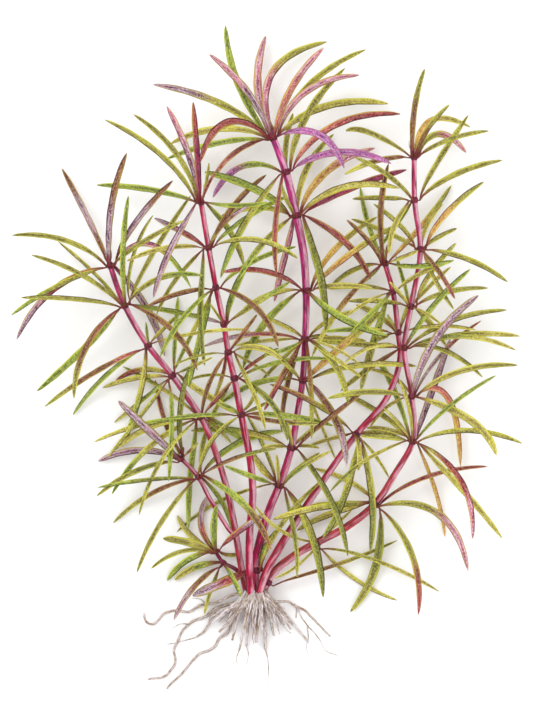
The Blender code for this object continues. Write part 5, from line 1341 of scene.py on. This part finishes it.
def stem_finish():
    """Stem: crimson with darker streaks like stretched bark cells, painted highlight on one flank, painted
    shade on the other.
    """
    m = Finish("stem_skin")
    light, dark, pale = (m.painted(name) for name in ("light", "dark", "fleck"))
    side = m.painted("side", "Fac")
    place = m.painted("place", "Vector")
    streak = m.noise(place, detail=4.0, roughness=0.6, stretch=(1.9, 0.16, 1.0))
    fine = m.noise(place, detail=3.0, roughness=0.6, stretch=(5.0, 0.8, 1.0))
    patch = m.noise(place, detail=2.0, roughness=0.5, stretch=(0.35, 0.09, 1.0))
    colour = m.mix(m.ramp(streak, 0.42, 0.60), dark, light)
    # A painted highlight in the pale colour along the flank that faces right and up
    painted_highlight = m.ramp(m.plus(side, m.scaled(streak, 1.0, -0.5)), 0.35, 0.95)
    painted_highlight = m.times(painted_highlight, m.ramp(patch, 0.36, 0.56))
    colour = m.lay(colour, pale, painted_highlight, m.painted("fleck", "Alpha"))
    # Painted shade in the dark colour along the opposite flank
    edge = m.ramp(m.plus(m.times(side, -1.0), m.scaled(streak, 0.8, -0.4)), 0.45, 1.0)
    colour = m.lay(colour, dark, edge, 0.5)
    colour = m.lay(colour, dark, m.ramp(fine, 0.52, 0.62), 0.4)
    relief = m.blend(streak, 0.6, fine, 0.4)
    return m.done(colour, m.scaled(fine, 0.22, 0.30), relief, specular=0.22, strength=0.4, depth=0.00012)


def node_finish():
    """Swollen stem node: dark red brown, rougher than the stem."""
    m = Finish("stem_node")
    place = m.painted("place", "Vector")
    grain = m.noise(place, detail=4.0, roughness=0.6, scale=2.2)
    lines = m.noise(place, detail=3.0, roughness=0.6, stretch=(2.4, 0.6, 1.0))
    share = m.ramp(m.blend(grain, 0.5, lines, 0.5), 0.42, 0.62)
    colour = m.mix(share, m.painted("dark"), m.painted("light"))
    return m.done(colour, m.scaled(grain, 0.25, 0.45), grain, specular=0.3, strength=0.4, depth=0.00015)


def root_finish():
    """Root: beige brown with darker streaks and pale lilac patches."""
    m = Finish("root_skin")
    light, dark, pale = (m.painted(name) for name in ("light", "dark", "fleck"))
    place = m.painted("place", "Vector")
    streak = m.noise(place, detail=4.0, roughness=0.62, stretch=(1.6, 0.5, 1.0))
    patch = m.noise(place, detail=2.0, roughness=0.5, stretch=(0.5, 0.16, 1.0))
    grain = m.noise(place, detail=3.0, roughness=0.6, scale=3.0)
    colour = m.mix(m.ramp(streak, 0.38, 0.64), dark, light)
    colour = m.lay(colour, pale, m.ramp(patch, 0.42, 0.60), m.painted("fleck", "Alpha"))
    colour = m.lay(colour, dark, m.ramp(grain, 0.52, 0.64), 0.35)
    relief = m.blend(streak, 0.5, grain, 0.5)
    return m.done(colour, m.scaled(grain, 0.2, 0.72), relief, specular=0.2, strength=0.5, depth=0.0002)


def fine_path(points, spacing):
    """Return points and radii on a smooth curve through the listed points, with the run so far."""
    listed = np.array(points, float)
    gaps = np.linalg.norm(np.diff(listed[:, :3], axis=0), axis=1)
    knots = np.concatenate(([0.0], np.cumsum(gaps)))
    at = np.linspace(0.0, knots[-1], max(4, round(knots[-1] / spacing)) + 1)
    smooth = np.stack([eased(at, knots, listed[:, axis]) for axis in range(3)], axis=1)
    return smooth, np.interp(at, knots, listed[:, 3]), at


def path_frames(path):
    """Return two directions across a path that turn as little as they can along it."""
    tangents = np.gradient(path, axis=0)
    tangents /= np.linalg.norm(tangents, axis=1)[:, None]
    before = Vector(tangents[0])
    side = UP.cross(before)
    if side.length < 0.1:
        side = Vector((1, 0, 0)).cross(before)
    side.normalize()
    frames = []
    for row in tangents:
        tangent = Vector(row)
        side.rotate(before.rotation_difference(tangent))
        side = (side - tangent * side.dot(tangent)).normalized()
        frames.append((side.copy(), tangent.cross(side)))
        before = tangent
    return frames


def add_tube(surface, points, spacing, around, paint, seed, lobes=0.0, rough=0.0):
    """Add a closed tube along the points. paint gives its colours at a share of its length."""
    path, radii, runs = fine_path(points, spacing)
    for place, run in zip(path[1:-1], runs[1:-1]):
        sizes = (math.cos(run * 0.31 + seed * 9), 1.0, 0.5)
        for axis, (size, (rate, shift)) in enumerate(zip(sizes, WOBBLE)):
            place[axis] += rough * math.sin(run * rate + seed * shift) * size
    start = len(surface.points)
    for centre, radius, run, (side, up) in zip(path, radii, runs, path_frames(path)):
        light, dark, fleck = paint(run / runs[-1])
        swell = 1.0 + ROOT_SWELL * math.sin(run * 1.7 + seed * 40) * rough * 4
        for k in range(around):
            angle = 2 * math.pi * k / around
            away = outward(side, up, angle)
            wide = radius * swell * (1.0 + lobes * math.cos(4 * angle + 0.8))
            place = (math.cos(angle) * radius * PLACE_SPREAD, run + seed * PLACE_START,
                     math.sin(angle) * radius * PLACE_SPREAD + seed * PLACE_SHIFT)
            # side tells how far each point faces the way of a stem's painted highlight
            surface.put(on_or_above(Vector(centre) + away * wide), light=light, dark=dark, fleck=fleck,
                        place=place, side=away.x * HIGHLIGHT_FACES[0] + away.z * HIGHLIGHT_FACES[1])
    surface.close_rings(start, around)


def stem_paint(name):
    """Return the painter of a stem's colours from its foot to its tip."""
    ends = STEM_TONES[name]
    dark_ends = [[value * STEM_DARK for value in colour] for colour in ends]
    painted_highlight = SIDE_SHOOT_HIGHLIGHT if name == "side_shoot" else HIGHLIGHT_STRENGTH
    # The pale colour of the painted highlight, with its strength as alpha
    pale = (*linear(STEM_HIGHLIGHT)[:3], painted_highlight)
    return lambda share: (mixed(*ends, share), mixed(*dark_ends, share), pale)


def root_paint(pale_share):
    """Return the painter of a root's colours, with this share of pale patches."""
    pale = (*linear(ROOT_PALE)[:3], pale_share)
    return lambda share: (mixed(*ROOT_LIGHT, share), mixed(*ROOT_DARK, share), pale)


def add_root(surface, points, kind, seed, pale=None):
    """Add a rough tube with root colours, by the numbers of its kind."""
    spacing, around, rough, usual = ROOT_KINDS[kind]
    add_tube(surface, points, spacing, around, root_paint(usual if pale is None else pale), seed, rough=rough)


def moved(start, towards, distance, radius):
    """Return the point at a distance from start on the way towards another, with its radius."""
    size = math.dist(start[:3], towards[:3])
    return (*(a + distance * (b - a) / size for a, b in zip(start[:3], towards[:3])), radius)


def build_leaves(whorls, materials):
    """Make one piece for each whorl: its leaves, its swollen node and the youngest leaves at a tip."""
    for number, whorl in enumerate(whorls):
        draw = random.Random(LEAF_SEED + number)
        surface = Surface()
        for leaf in whorl.leaves:
            add_blade(surface, leaf, draw)
        add_node(surface, whorl, draw.random())
        if whorl.name.endswith("_1"):
            add_bud(surface, whorl, draw)
        piece = surface.make("leaves_" + whorl.name, materials)
        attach(piece, "root")
        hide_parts("whorl_" + whorl.name)


def build_stems(material):
    """Make the stems as smooth faintly square rods that run into the crown or their parent."""
    for number, (name, points) in enumerate(STEMS.items()):
        surface = Surface()
        first, tip = points[0], points[-1]
        foot = moved(first, points[1], -STEM_SUNK, first[3])
        if name == "short_branch":
            foot = (*(a + b for a, b in zip(first, FORK_START)), first[3] * FORK_SHARE)
        end = moved(tip, points[-2], -TIP_LENGTH, tip[3] * TIP_SHARE)
        add_tube(surface, [foot, *points, end], STEM_STEP, STEM_AROUND, stem_paint(name),
                 STEM_SEED * number, lobes=STEM_LOBES)
        piece = surface.make("skin_stem_" + name, [material])
        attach(piece, "root")
        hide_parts("stem_" + name)


def build_roots(material):
    """Make the long roots, each running into the crown."""
    inside = (CROWN_CENTRE[0], CROWN_TOP_Y - ROOT_SOURCE_DEPTH, CROWN_CENTRE[1])
    for number, (name, points) in enumerate(LONG_ROOTS.items()):
        surface = Surface()
        foot = moved(points[0], inside, ROOT_SUNK, points[0][3] * ROOT_FOOT_SHARE)
        add_root(surface, [foot, *points], "long", LONG_ROOT_SEED * (number + 1))
        piece = surface.make("skin_" + name, [material])
        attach(piece, "root")
        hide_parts(name)


def add_crown_body(surface):
    """Add the lumpy crown, reddish at the top where the stems stand."""
    ball = bmesh.new()
    bmesh.ops.create_icosphere(ball, subdivisions=4, radius=1.0)
    half_wide, half_tall = CROWN_HALF
    size = Matrix.Diagonal((half_wide * MM, CROWN_LENGTH * CROWN_HALF_SHARE * MM, half_tall * MM, 1.0))
    middle_y = CROWN_TOP_Y - CROWN_LENGTH * CROWN_MIDDLE_SHARE
    middle = (CROWN_CENTRE[0] * MM, middle_y * MM, CROWN_CENTRE[1] * MM)
    ball.transform(Matrix.Translation(middle) @ size)
    light, dark, fleck = root_paint(CROWN_PALE)(0.0)
    top_light, top_dark = linear(CROWN_LIGHT), linear(CROWN_DARK)
    for vert in ball.verts:
        at = vert.co / MM
        lump = sum(noise.noise(at * rate) * size for rate, size in LUMPS) + LUMP_LEVEL
        at = (vert.co + vert.normal * lump * MM) / MM
        rise = CROWN_BLEND * smooth_step(CROWN_TOP_Y - CROWN_BLEND_LENGTH, CROWN_TOP_Y, at.y)
        surface.put(at, light=[a + rise * (b - a) for a, b in zip(light, top_light)],
                    dark=[a + rise * (b - a) for a, b in zip(dark, top_dark)],
                    fleck=fleck, place=(at.x, at.y * 0.8, at.z))
    surface.fill([tuple(vert.index for vert in face.verts) for face in ball.faces])
    ball.free()


def add_strands(surface):
    """Add the roots that start all around the crown's top, run down over it and fan out."""
    draw = random.Random(STRAND_SEED)
    middle_x, middle_z = CROWN_CENTRE
    wide, tall = CROWN_HALF
    middle_lean, side_lean, stray = STRAND_LEAN
    for number in range(STRANDS):
        place = number + draw.uniform(-STRAND_JITTER, STRAND_JITTER)
        turn = math.radians(-STRAND_TURN + 2 * STRAND_TURN * place / (STRANDS - 1))
        across = math.sin(turn)
        above = math.cos(turn)
        thick = draw.uniform(*STRAND_THICKNESS)
        lean = middle_lean + side_lean * across + draw.uniform(-stray, stray)
        length = draw.uniform(*STRAND_LENGTH) * (1.0 - SIDE_SHORTENING * abs(across))
        starts = (CROWN_TOP_Y + draw.uniform(*STRAND_START), CROWN_TOP_Y - STRAND_DROP)
        route = [(middle_x + out * wide * across, y, middle_z + high * tall * above, thick * share)
                 for y, (out, high, share) in zip(starts, STRAND_OVER)]
        x = middle_x + wide * across + math.sin(lean) * STRAND_DROP
        y = CROWN_TOP_Y - 2 * STRAND_DROP
        z = max(STRAND_LOW, middle_z + STRAND_SHOULDER * tall * above - STRAND_LOW)
        route.append((x, y, z, thick))
        fall = draw.uniform(*STRAND_FALL) * z / 3
        for taper in STRAND_TAPER:
            lean += draw.uniform(*STRAND_BEND)
            x += math.sin(lean) * length / 3
            y -= math.cos(lean) * length / 3
            z = max(LOWEST_ROOT, z - fall - draw.uniform(*STRAND_STEP_DOWN))
            route.append((x, y, z, thick * taper))
        pale = draw.choice(STRAND_PALE)
        add_root(surface, route, "strand", draw.random(), pale)


def build_crown(material):
    """Make the crown with its tuft of short roots and the strands over it."""
    surface = Surface()
    add_crown_body(surface)
    for number, root in enumerate(TUFT_ROOTS):
        add_root(surface, root, "tuft", TUFT_SEED * (number + 2))
    add_strands(surface)
    crown = surface.make("skin_root_crown", [material])
    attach(crown, "root")
    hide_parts("root_crown")


def build_fine_roots(material):
    """Make the thin roots that fill the tuft and branch from the long roots."""
    draw = random.Random(FINE_ROOT_SEED)
    surface = Surface()
    for number in range(TUFT_FILL):
        lean = -FINE_FAN + 2 * FINE_FAN * (number / (TUFT_FILL - 1)) + draw.uniform(*FINE_JITTER)
        x = CROWN_CENTRE[0] + FINE_SPREAD * math.sin(lean)
        y = FINE_START_Y + draw.uniform(*FINE_START)
        z = CROWN_CENTRE[1] + draw.uniform(*FINE_HEIGHTS)
        length = draw.uniform(*FINE_LENGTH) * (1.0 - SIDE_SHORTENING * abs(lean))
        route = [(x, y, z, FINE_RADIUS)]
        lean += draw.uniform(*FINE_TURN)
        for step in range(1, FINE_STEPS + 1):
            lean += draw.uniform(*FINE_BEND)
            x += math.sin(lean) * length / FINE_STEPS
            y -= math.cos(lean) * length / FINE_STEPS
            z = max(LOWEST_ROOT, z + draw.uniform(*FINE_CLIMB))
            route.append((x, y, z, FINE_RADIUS - FINE_TAPER * step / FINE_STEPS))
        add_root(surface, route, "fill", draw.random())
    for branch in FINE_ROOTS:
        add_root(surface, branch, "branch", draw.random())
    piece = surface.make("fine_roots", [material])
    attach(piece, "root")


def lay_floor():
    """Lay the plain pale surface that the plant lies on."""
    plane = bmesh.new()
    bmesh.ops.create_grid(plane, x_segments=1, y_segments=1, size=FLOOR_HALF)
    mesh = bpy.data.meshes.new("floor")
    plane.to_mesh(mesh)
    plane.free()
    floor = bpy.data.objects.new("floor", mesh)
    bpy.context.scene.collection.objects.link(floor)
    finish = bpy.data.materials.new("pale_floor")
    finish.use_nodes = True
    shader = finish.node_tree.nodes["Principled BSDF"]
    shader.inputs["Base Color"].default_value = (FLOOR_WHITE, FLOOR_WHITE, FLOOR_WHITE, 1.0)
    shader.inputs["Roughness"].default_value = 0.9
    shader.inputs["Specular IOR Level"].default_value = 0.1
    mesh.materials.append(finish)


def light_scene():
    """Light the plant softly from above with a little more from the upper left."""
    scene = bpy.context.scene
    scene.world = bpy.data.worlds.new("studio")
    scene.world.use_nodes = True
    background = scene.world.node_tree.nodes["Background"]
    background.inputs["Color"].default_value = (1.0, 1.0, 1.0, 1.0)
    background.inputs["Strength"].default_value = WORLD_STRENGTH
    for name, at, size, power in LAMPS:
        lamp = bpy.data.lights.new(name, "AREA")
        lamp.shape = "SQUARE"
        lamp.size = size
        lamp.energy = power
        made = bpy.data.objects.new(name, lamp)
        made.location = at
        made.rotation_euler = (Vector(LAMP_TARGET) - Vector(at)).to_track_quat("-Z", "Y").to_euler()
        scene.collection.objects.link(made)
    settings = scene.view_settings
    settings.view_transform = "Standard"
    settings.look = "None"
    settings.exposure = 0.0
    settings.gamma = 1.0


def place_camera():
    """Look straight down with the frame of the photograph at the height of the stems."""
    data = bpy.data.cameras.new("camera")
    camera = bpy.data.objects.new("camera", data)
    bpy.context.scene.collection.objects.link(camera)
    camera.location = (FRAME_CENTRE[0] * MM, FRAME_CENTRE[1] * MM, CAMERA_HEIGHT)
    data.sensor_fit = "VERTICAL"
    data.sensor_height = SENSOR_HEIGHT
    data.lens = SENSOR_HEIGHT * (CAMERA_HEIGHT - FRAME_LEVEL * MM) / (FRAME_TALL * MM)
    data.clip_start = CLIP_START
    data.clip_end = CLIP_END
    bpy.context.scene.camera = camera


def build():
    """Dress the whole plant."""
    rolls = random.Random(ROLL_SEED)
    whorls = [Whorl(name, x, y, rows, rolls) for name, (x, y, rows) in WHORLS.items()]
    leaves = [leaf for whorl in whorls for leaf in whorl.leaves]
    settle(leaves, list_obstacles(whorls))
    build_leaves(whorls, [leaf_finish(), node_finish()])
    build_stems(stem_finish())
    root_material = root_finish()
    build_roots(root_material)
    build_crown(root_material)
    build_fine_roots(root_material)
    lay_floor()
    light_scene()
    place_camera()


build()
